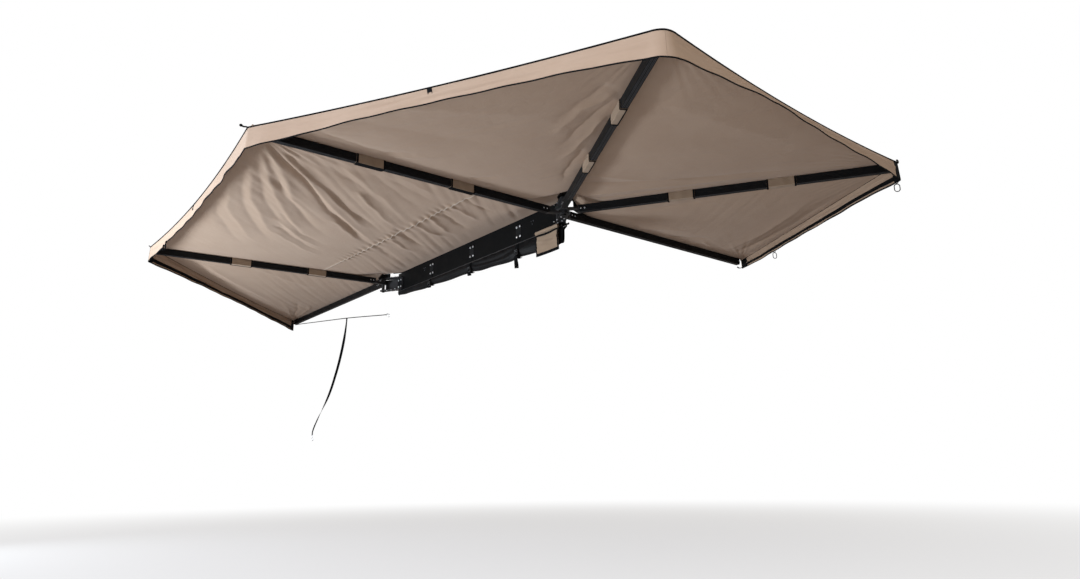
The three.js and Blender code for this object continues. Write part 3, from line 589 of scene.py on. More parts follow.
def make_floor():
    """A pale floor that keeps the awning's shadow close by and turns white further off."""
    floor_paint, tree, shader, place = start_material("floor_paint", "C4C4C4", 0.9)
    shader.inputs["Specular IOR Level"].default_value = 0.1
    away = add_node(tree, "ShaderNodeVectorMath", None, {0: place}, operation="LENGTH")
    fade = add_node(tree, "ShaderNodeMapRange",
                    {"From Min": FLOOR_FADE[0], "From Max": FLOOR_FADE[1], "To Min": FLOOR_NEAR_WHITE,
                     "To Max": 1.0},
                    {"Value": away.outputs["Value"]}, interpolation_type="SMOOTHSTEP")
    path = add_node(tree, "ShaderNodeLightPath")
    seen = add_node(tree, "ShaderNodeMath", None, {0: fade.outputs[0], 1: path.outputs["Is Camera Ray"]},
                    operation="MULTIPLY")
    white = add_node(tree, "ShaderNodeEmission", {"Color": WHITE, "Strength": 1.0})
    mix = add_node(tree, "ShaderNodeMixShader", None,
                   {0: seen.outputs[0], 1: shader.outputs[0], 2: white.outputs[0]})
    tree.links.new(mix.outputs[0], tree.nodes["Material Output"].inputs["Surface"])
    corners = ((-1, -1), (1, -1), (1, 1), (-1, 1))
    points = [(x * FLOOR_HALF, y * FLOOR_HALF, FLOOR_LEVEL) for x, y in corners]
    make_mesh("floor", points, [(0, 1, 2, 3)], floor_paint)


def make_world():
    """A pale even sky, white where the camera, shiny metal and clear things see it."""
    world = bpy.data.worlds.new("sky")
    bpy.context.scene.world = world
    world.use_nodes = True
    tree = world.node_tree
    light = tree.nodes["Background"]
    light.inputs["Color"].default_value = colour("FFE8D2")
    light.inputs["Strength"].default_value = 0.35
    shown = add_node(tree, "ShaderNodeBackground", {"Color": WHITE, "Strength": 1.0})
    path = add_node(tree, "ShaderNodeLightPath")
    seen = path.outputs["Is Camera Ray"]
    for ray in ("Is Glossy Ray", "Is Transmission Ray"):
        links = {0: seen, 1: path.outputs[ray]}
        seen = add_node(tree, "ShaderNodeMath", None, links, operation="MAXIMUM").outputs[0]
    mix = add_node(tree, "ShaderNodeMixShader", None, {0: seen, 1: light.outputs[0], 2: shown.outputs[0]})
    tree.links.new(mix.outputs[0], tree.nodes["World Output"].inputs["Surface"])


bpy.context.scene.view_settings.view_transform = "Standard"
make_camera()
make_world()
make_floor()
for lamp_values in LAMPS:
    make_lamp(*lamp_values)


# Guy line, its webbing and hooks

HOOK_WIRE = 0.006
HOOK_WIDTH = 0.034
HOOK_HEIGHT = 0.06
HOOK_EYE_SHARE = 0.6
# The knot's outline, as (radius, height)
GUY_KNOT = [(0.001, -0.012), (0.005, -0.01), (0.007, -0.003), (0.0075, 0.003), (0.005, 0.009), (0.001, 0.012)]


def wire_hook(name, node, along, across):
    """An open wire hook in a solid's place: a closed eye at one end and a bent tip at the other."""
    radius = (HOOK_WIDTH - HOOK_WIRE) / 2
    eye_radius = radius * HOOK_EYE_SHARE
    end = (HOOK_HEIGHT - HOOK_WIRE) / 2
    eye_turn = np.linspace(-0.3 * math.pi, 1.5 * math.pi, 22)
    eye = [(eye_radius * math.cos(t), end - eye_radius + eye_radius * math.sin(t)) for t in eye_turn]
    tip_turn = np.linspace(0.0, -1.15 * math.pi, 18)
    tip = [(radius * math.cos(t) - radius, radius - end + radius * math.sin(t)) for t in tip_turn]
    path = np.array(eye + tip)
    along, across = np.array(along, float), np.array(across, float)
    points = middle_of(node) + path[:, :1] * across + path[:, 1:] * along
    return sweep(name, points, round_section(HOOK_WIRE / 2), ZINC, ups=np.cross(along, across))


def make_guy():
    """The guy line and the webbing that falls from it, with the knot between them and their hooks."""
    route = along_curve(GUY_LINE_ROUTE, 34)
    line = bpy.data.curves.new("guy_line_cord", "CURVE")
    line.dimensions = "3D"
    line.bevel_depth = GUY_LINE_RADIUS
    line.bevel_resolution = 3
    spline = line.splines.new("POLY")
    spline.points.add(len(route) - 1)
    for point, place in zip(spline.points, route):
        point.co = (*place, 1)
    line.materials.append(WEBBING)
    cord = add_object("guy_line_cord", line)

    strap_route = along_curve(GUY_STRAP_ROUTE, 66)
    twist_places = np.linspace(0, 1, len(GUY_TWIST_SHARES))
    twist = np.interp(np.linspace(0, 1, len(strap_route)), twist_places, GUY_TWIST_SHARES)
    section = flat_section(GUY_STRAP_WIDTH, GUY_STRAP_THICK)
    strap = sweep("guy_webbing", strap_route, section, WEBBING, ups=(1.0, 0.0, 0.0), turns=twist * 0.5 + 0.25)
    rack_hook = wire_hook("guy_rack_wire_hook", "guy_rack_hook", (1, 0, 0), (0, 0, 1))
    low_hook = wire_hook("guy_lower_wire_hook", "guy_lower_hook", (0, 0, 1), (1, 0, 0))
    knot = turned("guy_knot", GUY_KNOT, GUY_STRAP_ROUTE[0], (1, 0, -0.1), WEBBING, 14)
    dress(cord, "arm_f", "webbing", "guy_line")
    dress(strap, "arm_f", "webbing", "guy_strap")
    dress(rack_hook, "arm_f", "zinc", "guy_rack_hook")
    dress(low_hook, "arm_f", "zinc", "guy_lower_hook")
    dress(knot, "arm_f", "webbing")


make_guy()


# Canopy


def arm_direction(letter):
    """An open arm's direction, and the direction to its left."""
    ahead = heading(math.radians(ARMS[letter][1]))
    return ahead, np.array([-ahead[1], ahead[0]])


def arm_place(letter, reach, aside=0.0, up=0.0):
    """Places beside an arm's centre line, at distances from its pin."""
    hub, _, lane, _ = ARMS[letter]
    x, level = HUBS[hub]
    ahead, left = arm_direction(letter)
    reach, aside = np.asarray(reach, float), np.asarray(aside, float)
    flat = np.array([x, PIN_REACH]) + reach[..., None] * ahead + (lane * LANE_PITCH + aside)[..., None] * left
    return np.concatenate([flat, np.full(flat.shape[:-1] + (1,), level) + np.asarray(up)[..., None]], -1)


def arm_line(letter, side, share):
    """The line where the cloth lies along an arm, from its hub's peak to the corner past the arm's end."""
    hub, _, lane, length = ARMS[letter]
    x, level = HUBS[hub]
    ahead, left = arm_direction(letter)
    share = np.asarray(share, float)
    radius = between(APEX_RADIUS, length + CORNERS[letter][0], share)
    aside = lane * LANE_PITCH * smooth(radius / LEAD_IN) + side * CLOTH_GAP / 2
    cloth_level = level + TUBE_HEIGHT / 2 + CLOTH_LIFT
    height = between(RAIL_TOP + CLOTH_THICK, cloth_level, smooth((radius - APEX_RADIUS) / PEAK_RUN))
    flat = np.array([x, PIN_REACH]) + radius[..., None] * ahead + aside[..., None] * left
    return np.concatenate([flat, height[..., None]], -1)


def heading(angle):
    """The direction at an angle from the front, seen from above."""
    return np.stack([np.cos(angle), np.sin(angle)], -1)


def rim_line(first, second, share):
    """Places and outward directions along a rim: an arc at each corner and a straight run between."""
    start, end = arm_line(first, 1, 1.0)[:2], arm_line(second, -1, 1.0)[:2]
    start_angle, end_angle = math.radians(ARMS[first][1]), math.radians(ARMS[second][1])
    start_radius, end_radius = CORNER_RADIUS[first], CORNER_RADIUS[second]
    start_centre = start - heading(start_angle) * start_radius
    end_centre = end - heading(end_angle) * end_radius
    run = end_centre - start_centre
    lean = math.asin((start_radius - end_radius) / np.linalg.norm(run))
    square = math.atan2(-run[0], run[1]) + lean
    square += TURN * round(((start_angle + end_angle) / 2 - square) / TURN)
    straight_start = start_centre + heading(square) * start_radius
    straight_end = end_centre + heading(square) * end_radius
    straight = np.linalg.norm(straight_end - straight_start)
    start_arc, end_arc = abs(square - start_angle) * start_radius, abs(end_angle - square) * end_radius
    whole = start_arc + straight + end_arc
    distance = np.asarray(share, float) * whole
    in_start, in_end = distance < start_arc, distance > whole - end_arc
    start_share = np.clip(distance / max(start_arc, 1e-9), 0, 1)
    end_share = np.clip((whole - distance) / max(end_arc, 1e-9), 0, 1)
    angle = np.where(in_start, between(start_angle, square, start_share),
                     np.where(in_end, between(end_angle, square, end_share), square))
    normal = heading(angle)
    middle = straight_start + (straight_end - straight_start) * ((distance - start_arc) / straight)[..., None]
    place = np.where(in_start[..., None], start_centre + normal * start_radius,
                     np.where(in_end[..., None], end_centre + normal * end_radius, middle))
    return place, normal, whole


def outer_edge(first, second, share):
    """The rim before it droops: bowed inward and sagging between its corners."""
    place, normal, _ = rim_line(first, second, share)
    pull, sag, _ = RIMS[first + second]
    bow = 4 * share * (1 - share)
    height = between(arm_line(first, 1, 1.0)[2], arm_line(second, -1, 1.0)[2], share) - sag * bow
    return np.concatenate([place - normal * (pull * bow)[..., None], height[..., None]], -1), normal


def droop_at(first, second, share):
    """How far the cloth droops at a share of its rim."""
    return between(CORNERS[first][1], CORNERS[second][1], share)


def valance_drop(first, second, share):
    """A valance's depth at a share of its rim."""
    corner_drop = between(CORNERS[first][2], CORNERS[second][2], share)
    return between(corner_drop, RIMS[first + second][2], 4 * share * (1 - share))


def inner_edge(first, second, share):
    """A panel's edge at the hubs: an arc round one pin, or a line from pin to pin along the rail."""
    start, end = arm_line(first, 1, 0.0), arm_line(second, -1, 0.0)
    point = between(start, end, share[..., None])
    if ARMS[first][0] != ARMS[second][0]:
        corner_share = 1 - RAIL_LENGTH / (2 * HUB_X)
        pull = smooth(np.minimum(share, 1 - share) / corner_share)
        point[..., 1] = between(point[..., 1], RAIL_FRONT + SEAT_GAP + CLOTH_THICK, pull)
        return point
    angle = np.radians(between(ARMS[first][1], ARMS[second][1], share))
    x, _ = HUBS[ARMS[first][0]]
    arc = np.array([x, PIN_REACH]) + APEX_RADIUS * heading(angle)
    arc = np.concatenate([arc, np.full(arc.shape[:-1] + (1,), RAIL_TOP + CLOTH_THICK)], -1)
    return between(point, arc, smooth(4 * np.minimum(share, 1 - share))[..., None])


# Folds in the cloth, read off the photograph: the line that each follows in x and y, its width at
# both ends, and its height
FOLDS = {
    "canopy_panel_ea": [
        ([(-1.07, 2.06), (-0.9, 1.93), (-0.7, 1.8), (-0.38, 1.63), (-0.1, 1.37)], 0.02, 0.05, -0.015),
        ([(-1.09, 2.05), (-0.76, 1.72), (-0.28, 1.35), (0.22, 0.87), (0.55, 0.5)], 0.018, 0.03, 0.017),
        ([(-1.06, 2.01), (-0.77, 1.7), (-0.33, 1.32), (0.25, 0.76), (0.46, 0.52)], 0.02, 0.03, -0.014),
        ([(-1.04, 1.94), (-0.71, 1.58), (-0.35, 1.22), (0.03, 0.74)], 0.02, 0.03, 0.014),
        ([(-0.96, 1.85), (-0.59, 1.48), (-0.15, 1.06), (0.02, 0.86)], 0.02, 0.03, -0.012),
        ([(-1.0, 2.04), (-0.4, 1.68), (0.1, 1.3), (0.35, 1.05)], 0.02, 0.03, 0.011),
        ([(-0.99, 2.05), (-0.37, 1.74), (0.2, 1.38), (0.55, 1.1)], 0.02, 0.035, -0.01),
        ([(-0.97, 2.06), (-0.3, 1.79), (0.25, 1.47), (0.62, 1.2)], 0.02, 0.035, 0.009),
        ([(-0.9, 2.08), (-0.24, 1.85), (0.3, 1.56), (0.7, 1.28)], 0.022, 0.035, -0.009),
        ([(-0.85, 2.09), (-0.1, 1.86), (0.45, 1.56), (0.8, 1.3)], 0.022, 0.035, 0.008),
        ([(-0.66, 2.09), (0.0, 1.93), (0.6, 1.6), (0.9, 1.36)], 0.025, 0.035, -0.007),
        ([(-0.5, 2.1), (0.2, 1.94), (0.75, 1.64), (1.0, 1.42)], 0.025, 0.035, 0.006),
        ([(-0.1, 1.62), (0.3, 1.32), (0.55, 1.0)], 0.016, 0.022, 0.007),
        ([(0.05, 1.6), (0.45, 1.24), (0.66, 0.95)], 0.016, 0.022, -0.007),
        ([(0.2, 1.55), (0.6, 1.16), (0.78, 0.9)], 0.016, 0.022, 0.006),
        ([(0.36, 1.5), (0.74, 1.1), (0.9, 0.86)], 0.016, 0.022, -0.006),
        ([(-0.25, 1.3), (0.1, 0.96), (0.2, 0.8)], 0.016, 0.022, 0.007),
        ([(-0.12, 1.25), (0.22, 0.92), (0.3, 0.8)], 0.016, 0.022, -0.007),
        ([(-1.08, 1.84), (-0.89, 1.54), (-0.84, 1.4)], 0.03, 0.04, 0.004),
        ([(-1.0, 1.66), (-0.79, 1.34), (-0.36, 0.86)], 0.03, 0.04, 0.006),
        ([(-1.02, 1.56), (-0.69, 1.15), (-0.35, 0.8)], 0.03, 0.04, -0.006),
        ([(-1.04, 1.42), (-0.59, 0.78)], 0.03, 0.04, 0.005),
        ([(-1.04, 1.33), (-0.77, 0.76)], 0.03, 0.04, 0.004),
        ([(-1.08, 1.23), (-0.88, 0.79)], 0.03, 0.04, -0.004),
        ([(-0.73, 1.36), (-0.24, 0.86), (-0.08, 0.73)], 0.02, 0.028, -0.013),
        ([(-0.36, 0.77), (-0.18, 0.5), (-0.11, 0.28)], 0.02, 0.024, -0.012),
        ([(-0.55, 0.75), (-0.25, 0.4), (-0.17, 0.28)], 0.018, 0.024, -0.011),
        ([(-0.68, 0.74), (-0.47, 0.46), (-0.34, 0.26)], 0.018, 0.022, 0.01),
        ([(-0.83, 0.75), (-0.69, 0.49), (-0.57, 0.3)], 0.018, 0.022, -0.01),
        ([(-0.12, 0.76), (0.1, 0.5), (0.26, 0.28)], 0.018, 0.024, 0.012),
        ([(0.04, 0.76), (0.34, 0.42), (0.42, 0.28)], 0.018, 0.024, -0.011),
        ([(0.32, 0.71), (0.51, 0.53), (0.68, 0.36)], 0.018, 0.022, 0.009),
        ([(-0.99, 0.74), (-0.88, 0.53), (-0.83, 0.36)], 0.016, 0.02, 0.007),
    ],
    "canopy_panel_ab": [
        ([(-1.4, 1.95), (-1.36, 1.6), (-1.4, 1.3)], 0.02, 0.03, 0.006),
        ([(-1.34, 1.5), (-1.5, 1.36)], 0.015, 0.02, 0.006),
        ([(-1.34, 1.42), (-1.56, 1.22)], 0.015, 0.02, -0.005),
        ([(-1.34, 0.92), (-1.5, 0.78)], 0.015, 0.02, 0.005),
        ([(-2.65, 1.02), (-2.2, 1.0)], 0.03, 0.04, 0.01),
        ([(-2.61, 0.93), (-2.4, 0.97), (-2.05, 0.9)], 0.03, 0.03, -0.009),
        ([(-2.57, 0.9), (-2.3, 0.86), (-1.95, 0.76)], 0.02, 0.03, 0.008),
        ([(-2.4, 0.81), (-2.08, 0.71), (-1.8, 0.64)], 0.02, 0.03, -0.008),
        ([(-2.06, 0.65), (-1.77, 0.53), (-1.6, 0.42)], 0.02, 0.02, 0.007),
        ([(-1.6, 1.9), (-1.9, 0.9)], 0.12, 0.14, 0.01),
        ([(-1.9, 1.72), (-2.3, 1.05)], 0.1, 0.1, -0.01),
    ],
    "canopy_panel_bc": [
        ([(-1.6, 0.36), (-2.2, -0.19), (-2.74, -0.67)], 0.03, 0.04, 0.012),
        ([(-1.5, 0.2), (-2.0, -0.12), (-2.6, -0.62)], 0.025, 0.03, -0.01),
        ([(-1.77, 0.42), (-2.02, -0.02), (-2.3, -0.35)], 0.03, 0.03, -0.007),
        ([(-1.5, 0.08), (-1.9, -0.17), (-2.3, -0.45)], 0.02, 0.02, 0.007),
        ([(-2.7, 0.7), (-2.85, -0.4)], 0.12, 0.12, -0.008),
    ],
    "canopy_panel_cd": [
        ([(-1.39, -1.78), (-2.08, -1.51), (-2.75, -1.16)], 0.025, 0.035, -0.018),
        ([(-1.36, -1.68), (-2.0, -1.43), (-2.7, -1.06)], 0.03, 0.04, 0.016),
        ([(-1.34, -1.55), (-1.9, -1.32), (-2.5, -1.0)], 0.04, 0.05, -0.01),
        ([(-1.37, -1.21), (-1.31, -1.39)], 0.02, 0.02, -0.008),
        ([(-1.27, -0.9), (-1.5, -1.25)], 0.03, 0.03, 0.008),
        ([(-1.27, -0.55), (-1.55, -0.95)], 0.03, 0.03, -0.007),
        ([(-1.5, -0.3), (-2.7, -0.85)], 0.04, 0.05, 0.009),
    ],
    "canopy_panel_fe": [
        ([(3.5, 0.18), (2.95, 0.42), (2.49, 0.65)], 0.008, 0.035, -0.011),
        ([(3.5, 0.16), (2.9, 0.34), (2.32, 0.56)], 0.008, 0.03, 0.01),
        ([(3.48, 0.145), (2.85, 0.24), (2.49, 0.36)], 0.007, 0.025, -0.008),
        ([(3.5, 0.22), (3.0, 0.62), (2.6, 1.0)], 0.009, 0.045, 0.011),
        ([(3.46, 0.3), (3.1, 0.7), (2.8, 0.95)], 0.012, 0.035, -0.01),
        ([(1.69, 1.6), (2.1, 1.2), (2.67, 0.63)], 0.03, 0.04, -0.01),
        ([(1.6, 1.75), (2.0, 1.45), (2.5, 0.9)], 0.03, 0.05, 0.01),
        ([(1.5, 1.3), (1.9, 0.5)], 0.05, 0.05, -0.006),
    ],
}
# The direction of small creases in each panel, in degrees, and their height
CREASES = {
    "canopy_panel_ea": (-44, 0.0024), "canopy_panel_ab": (28, 0.001), "canopy_panel_bc": (218, 0.001),
    "canopy_panel_cd": (-28, 0.0012), "canopy_panel_fe": (-40, 0.0013),
}
# How strongly folds fan out of each panel's corners
CORNER_PULLS = {
    "canopy_panel_ea": (0.0015, 0.006), "canopy_panel_ab": (0.003, 0.003), "canopy_panel_bc": (0.003, 0.003),
    "canopy_panel_cd": (0.003, 0.005), "canopy_panel_fe": (0.003, 0.0025),
}
PULL_RADIUS = 0.34
PULL_RISE = 0.12
PULLS_PER_TURN = 96
PUCKER_HEIGHT = 0.0045
PUCKER_WIDTH = 0.055
PUCKER_LENGTH = 0.079
SEAM_GROOVE = 0.003
SEAM_GROOVE_WIDTH = 0.012
# How far each fold's line wanders, the shares of its length over which it rises and fades, and how
# much its two sides differ
FOLD_WANDER = 0.004
FOLD_RISE = 0.08
FOLD_FADE = 0.42
FOLD_SLANT = 0.3
# The waves that add up to small creases: their run, how far they wander, over what run and from where,
# and their share of the height. In this and later tables, a wave turns by one radian in each run.
CREASE_WAVES = ((0.014, 0.9, 0.61, 0, 1.0), (0.023, 0.8, 0.53, 1, 0.8), (0.0095, 1.1, 0.71, 2, 0.5))


def distance_to(route, x, y):
    """Signed distance from places to a route, and the share of its length where they are nearest."""
    route = np.asarray(route, float)
    lengths = np.linalg.norm(np.diff(route, axis=0), axis=1)
    nearest = np.full(x.shape, 1e9)
    signed, share = np.zeros_like(x), np.zeros_like(x)
    passed = 0.0
    for start, end, length in zip(route[:-1], route[1:], lengths):
        ahead = (end - start) / length
        along = np.clip((x - start[0]) * ahead[0] + (y - start[1]) * ahead[1], 0, length)
        away_x, away_y = x - start[0] - along * ahead[0], y - start[1] - along * ahead[1]
        away = np.hypot(away_x, away_y)
        closer = away < nearest
        side = np.sign(ahead[0] * (y - start[1]) - ahead[1] * (x - start[0]))
        signed = np.where(closer, away * side, signed)
        share = np.where(closer, (passed + along) / lengths.sum(), share)
        nearest = np.where(closer, away, nearest)
        passed += length
    return signed, share


def ridges(turn):
    """Waves with sharp crests and round valleys."""
    return 1 - 2 * np.abs(np.sin(turn / 2)) ** 0.8


def main_folds(name, x, y):
    """Height of the folds that the photograph shows one by one."""
    total = np.zeros_like(x)
    for number, (route, start_width, end_width, height) in enumerate(FOLDS[name]):
        away, share = distance_to(route, x, y)
        away = away + FOLD_WANDER * np.sin(share * 19 + number * 2.1)
        across = away / between(start_width, end_width, share)
        taper = np.clip(share / FOLD_RISE, 0, 1) ** 0.7 * smooth((1 - share) / FOLD_FADE)
        total += height * taper * np.exp(-np.abs(across) ** 1.2) * (1 - FOLD_SLANT * np.tanh(across))
    return total


def corner_pulls(name, x, y):
    """Height of the fine folds that fan out of a panel's two outer corners."""
    first, second = PANELS[name][:2]
    total = np.zeros_like(x)
    for letter, side, pull in zip((first, second), (1, -1), CORNER_PULLS[name]):
        corner = arm_line(letter, side, 1.0)
        reach = np.hypot(x - corner[0], y - corner[1])
        angle = np.arctan2(y - corner[1], x - corner[0])
        rays = np.sin(angle * PULLS_PER_TURN / 2 + 1.3 * np.sin(angle * 5))
        rays = rays + 0.5 * np.sin(angle * PULLS_PER_TURN * 0.81)
        total += pull * rays * smooth(reach / PULL_RISE) * np.exp(-(reach / PULL_RADIUS) ** 1.5)
    return total


def small_creases(name, x, y):
    """Height of the small creases that run one way over a panel, here strong and there faint."""
    direction, crease = CREASES[name]
    angle = math.radians(direction)
    along = x * math.cos(angle) + y * math.sin(angle)
    aside = y * math.cos(angle) - x * math.sin(angle)
    strength = 0.5 + 0.5 * np.sin(along * 2.3 + 3 * np.sin(aside * 1.9)) * np.cos(aside * 3.1)
    if name == SIDE_PANEL:
        strength = strength * (1 - 0.75 * smooth((aside - 0.8) / 0.5))
    waves = sum(share * ridges(aside / run + wander * np.sin(along / wander_run + start))
                for run, wander, wander_run, start, share in CREASE_WAVES)
    return crease * waves * strength


def seam_puckers(x, y):
    """Height of the puckers beside the side panel's seam, and of the groove that it lies in."""
    away = y - SEAM_PLACE
    near = np.exp(-(away / PUCKER_WIDTH) ** 2) * smooth((1.1 - np.abs(x)) / 0.4)
    puckers = np.sin(TURN * (x + 0.6 * away) / PUCKER_LENGTH + 1.7 * np.sin(x / 0.11))
    return PUCKER_HEIGHT * near * puckers - SEAM_GROOVE * np.exp(-(away / SEAM_GROOVE_WIDTH) ** 2)


def fold_height(name, x, y):
    """Height of all folds, pulls, creases and puckers at places on a panel."""
    total = main_folds(name, x, y) + corner_pulls(name, x, y) + small_creases(name, x, y)
    if name == SIDE_PANEL:
        total += seam_puckers(x, y)
    return total


# How the valances' hems sway: by how far, over what run, and how far that wanders over what run
VALANCE_SWAYS = ((0.004, 0.11, 2, 0.37), (0.0025, 0.043, 0, 1.0))
# Ripples in the valances: their height, radians down the cloth, and run and wander along the rim
VALANCE_RIPPLES = ((0.0032, 8.0, 0.33, 0.21), (0.0018, 17.0, -0.19, 0.12), (0.001, 31.0, 0.09, 0.07))
# The rear valance's fold, lengthways: how far it stands out and its share of the depth
KINK_OUT = 0.012
KINK_LEVEL = 0.4
# How far some valances blow outward at the hem, as shares of the rim and distances
SWINGS = {"bc": ((0, 0.15, 0.37, 0.58, 0.78, 0.93, 1), (0.0, 0.026, 0.042, 0.033, 0.024, 0.011, 0.0))}
STILL = ((0, 1), (0, 0))


def valance_points(first, second, share, down):
    """Points down a valance, share of the rim by share of its depth: flared, fluttering and wrinkled."""
    edge, normal = outer_edge(first, second, share)
    edge[:, 2] -= droop_at(first, second, share)
    _, _, rim_length = rim_line(first, second, share)
    distance = (share * rim_length)[:, None]
    down = np.asarray(down, float)[None]
    sway = sum(reach * np.sin(distance / run + wander * np.sin(distance / wander_run))
               for reach, run, wander, wander_run in VALANCE_SWAYS)
    calm = smooth(share * 20)[:, None] * smooth((1 - share) * 20)[:, None]
    drop = valance_drop(first, second, share)
    swing = np.interp(share, *SWINGS.get(first + second, STILL))
    out = (VALANCE_FLARE + swing[:, None]) * down + sway * calm * down ** 1.5
    for height, radians, run, wander in VALANCE_RIPPLES:
        ripple = np.sin(radians * down + distance / run + 1.6 * np.sin(distance / wander + 3 * down))
        out = out + height * ripple * np.sin(math.pi * np.clip(down, 0, 1)) * calm
    if first + second == "bc":
        fold = np.where(down < KINK_LEVEL, down / KINK_LEVEL, (1 - down) / (1 - KINK_LEVEL))
        out = out + KINK_OUT * fold * smooth((share - 0.4) / 0.25)[:, None] * smooth((1 - share) * 12)[:, None]
    points = edge[:, None] + np.concatenate([normal, np.zeros((len(share), 1))], -1)[:, None] * out[..., None]
    points[..., 2] -= np.sqrt(drop ** 2 - swing ** 2)[:, None] * down
    return points


def panel_grid(name, columns):
    """The cloth's middle surface, from its inner edge to its rim and down the valance to its hem, with
    its flat coordinates and the rim's outward directions."""
    first, second = PANELS[name][:2]
    along_rail = name == SIDE_PANEL
    even = np.linspace(0, 1, columns)
    # Columns lie closer together at the corners, and the last rows closer together at the rim
    across = 0.35 * even + 0.65 * (1 - np.cos(math.pi * even)) / 2
    out = np.concatenate([np.linspace(0, DROOP_START, PANEL_ROWS - 4), np.linspace(DROOP_START, 1, 5)[1:]])
    u, v = np.meshgrid(across, out, indexing="ij")
    fade = RAIL_PANEL_FADE if along_rail else 1
    inner, (outer, normal) = inner_edge(first, second, across), outer_edge(first, second, across)
    surface = between(inner[:, None], outer[:, None], v[..., None])
    first_bend = arm_line(first, 1, out) - between(inner[:1], outer[:1], out[:, None])
    second_bend = arm_line(second, -1, out) - between(inner[-1:], outer[-1:], out[:, None])
    surface += first_bend[None] * ((1 - u) ** fade)[..., None] + second_bend[None] * (u ** fade)[..., None]
    middle, depth = 4 * u * (1 - u), 4 * v * (1 - v)
    surface[..., 2] -= PANEL_SAG * middle * depth * (1 if along_rail else v)
    past_arm = smooth((v - DROOP_START) / (1 - DROOP_START))
    from_arm = smooth(np.minimum(u, 1 - u) / DROOP_BLEND)
    surface[..., 2] -= droop_at(first, second, u) * between(past_arm, v * v, from_arm)
    edge_calm = smooth(u * 14) * smooth((1 - u) * 14) * smooth(v * 12) * smooth((1 - v) * 16)
    surface[..., 2] += fold_height(name, surface[..., 0], surface[..., 1]) * edge_calm

    down = np.linspace(0, 1, VALANCE_ROWS + 1)[1:]
    grid = np.concatenate([surface, valance_points(first, second, across, down)], axis=1)
    _, _, rim_length = rim_line(first, second, across)
    size = ARMS[second][3] + CORNERS[second][0]
    drop = valance_drop(first, second, across)
    v_all = np.concatenate([np.tile(out * size, (columns, 1)), size + drop[:, None] * down[None]], axis=1)
    u_all = np.repeat(across[:, None] * rim_length, v_all.shape[1], axis=1)
    return grid, np.stack([u_all, v_all], -1), normal


def stow(piece, name):
    """Makes a piece of a panel ride on the panel's body."""
    _, _, body, joint, lane_arm, lane = PANELS[name]
    if lane_arm is None:
        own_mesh(piece)
    else:
        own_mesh(piece)
    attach(piece, body)


PANEL_COLUMNS = 150
SIDE_PANEL_COLUMNS = 330
PANEL_ROWS = 170
VALANCE_ROWS = 16
PIPING_RADIUS = 0.0042
BINDING_WIDTH = 0.009
BINDING_WIDTHS = {"canopy_panel_ab": 0.006, "canopy_panel_bc": 0.006}
BINDING_THICK = 0.0032
# How far the piping, the binding and the keder are set over the cloth's edges
EDGE_LAP = 0.001
SEAM_WIDTH = 0.009
SEAM_THICK = 0.0012
SEAM_END_COLUMNS = 6
KEDER_RADIUS = 0.0045
KEDER_DROP = 0.002


def make_panel(name):
    """A panel's cloth with its valance, and the piping, binding, seam and keder on it."""
    first, second = PANELS[name][:2]
    label = first + second
    grid, uv, normal = panel_grid(name, SIDE_PANEL_COLUMNS if name == SIDE_PANEL else PANEL_COLUMNS)
    cloth = sheet_mesh("canopy_cloth_" + label, grid, CLOTH_THICK, CANVAS, uv, 60)
    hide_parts(name)
    outward = np.concatenate([normal, np.zeros((len(normal), 1))], -1)
    rim = grid[:, PANEL_ROWS - 1] + outward * EDGE_LAP + [0, 0, EDGE_LAP]
    piping = sweep("rim_piping_" + label, rim, round_section(PIPING_RADIUS, 8), WEBBING)
    width = BINDING_WIDTHS.get(name, BINDING_WIDTH)
    hem = grid[:, -1] + [0, 0, width / 2 - EDGE_LAP]
    trims = [piping, sweep("hem_binding_" + label, hem, flat_section(BINDING_THICK, width), WEBBING)]
    if name == SIDE_PANEL:
        trims += [make_seam(grid), make_rail_keder(grid)]
    _, _, rim_length = rim_line(first, second, np.array([0.0, 1.0]))
    width = max(rim_length, 2 * HUB_X) if name == SIDE_PANEL else rim_length
    for piece in [cloth, *trims]:
        stow(piece, name)


def make_seam(grid):
    """The lapped seam that runs along the side panel, with its pale stitching."""
    path = []
    for column in grid[SEAM_END_COLUMNS:-SEAM_END_COLUMNS, :PANEL_ROWS]:
        x, z = (np.interp(SEAM_PLACE, column[:, 1], column[:, axis]) for axis in (0, 2))
        path.append((x, SEAM_PLACE, z - CLOTH_THICK / 2 - SEAM_THICK / 2))
    return sweep("side_panel_seam", path, flat_section(SEAM_WIDTH, SEAM_THICK), THREAD)


def make_rail_keder(grid):
    """The black keder that holds the side panel's edge in the rail."""
    path = grid[:, 0]
    path = path[np.abs(path[:, 0]) < RAIL_LENGTH / 2] + [0, EDGE_LAP, -KEDER_DROP]
    return sweep("rail_keder", path, round_section(KEDER_RADIUS, 8), WEBBING)


for panel in PANELS:
    make_panel(panel)


# Rail, hubs and arms

NODE_FINISHES = (
    ("_tube", ANODISED), ("backing_rail", SHADED_RAIL_ANODISED), ("_knuckle", POWDER_COAT),
    ("hub_bracket", POWDER_COAT), ("mount_bracket", POWDER_COAT), ("_end_cap", NYLON),
    ("_spacer", NYLON), ("_pin", DARK_ZINC), ("_nut", DARK_ZINC),
)
WELD_REACH = 0.00005
EDGE_RADIUS = 0.0008
BOLT_RADIUS = 0.0085
BOLT_HEAD = 0.004
SOCKET_DEPTH = 0.0022
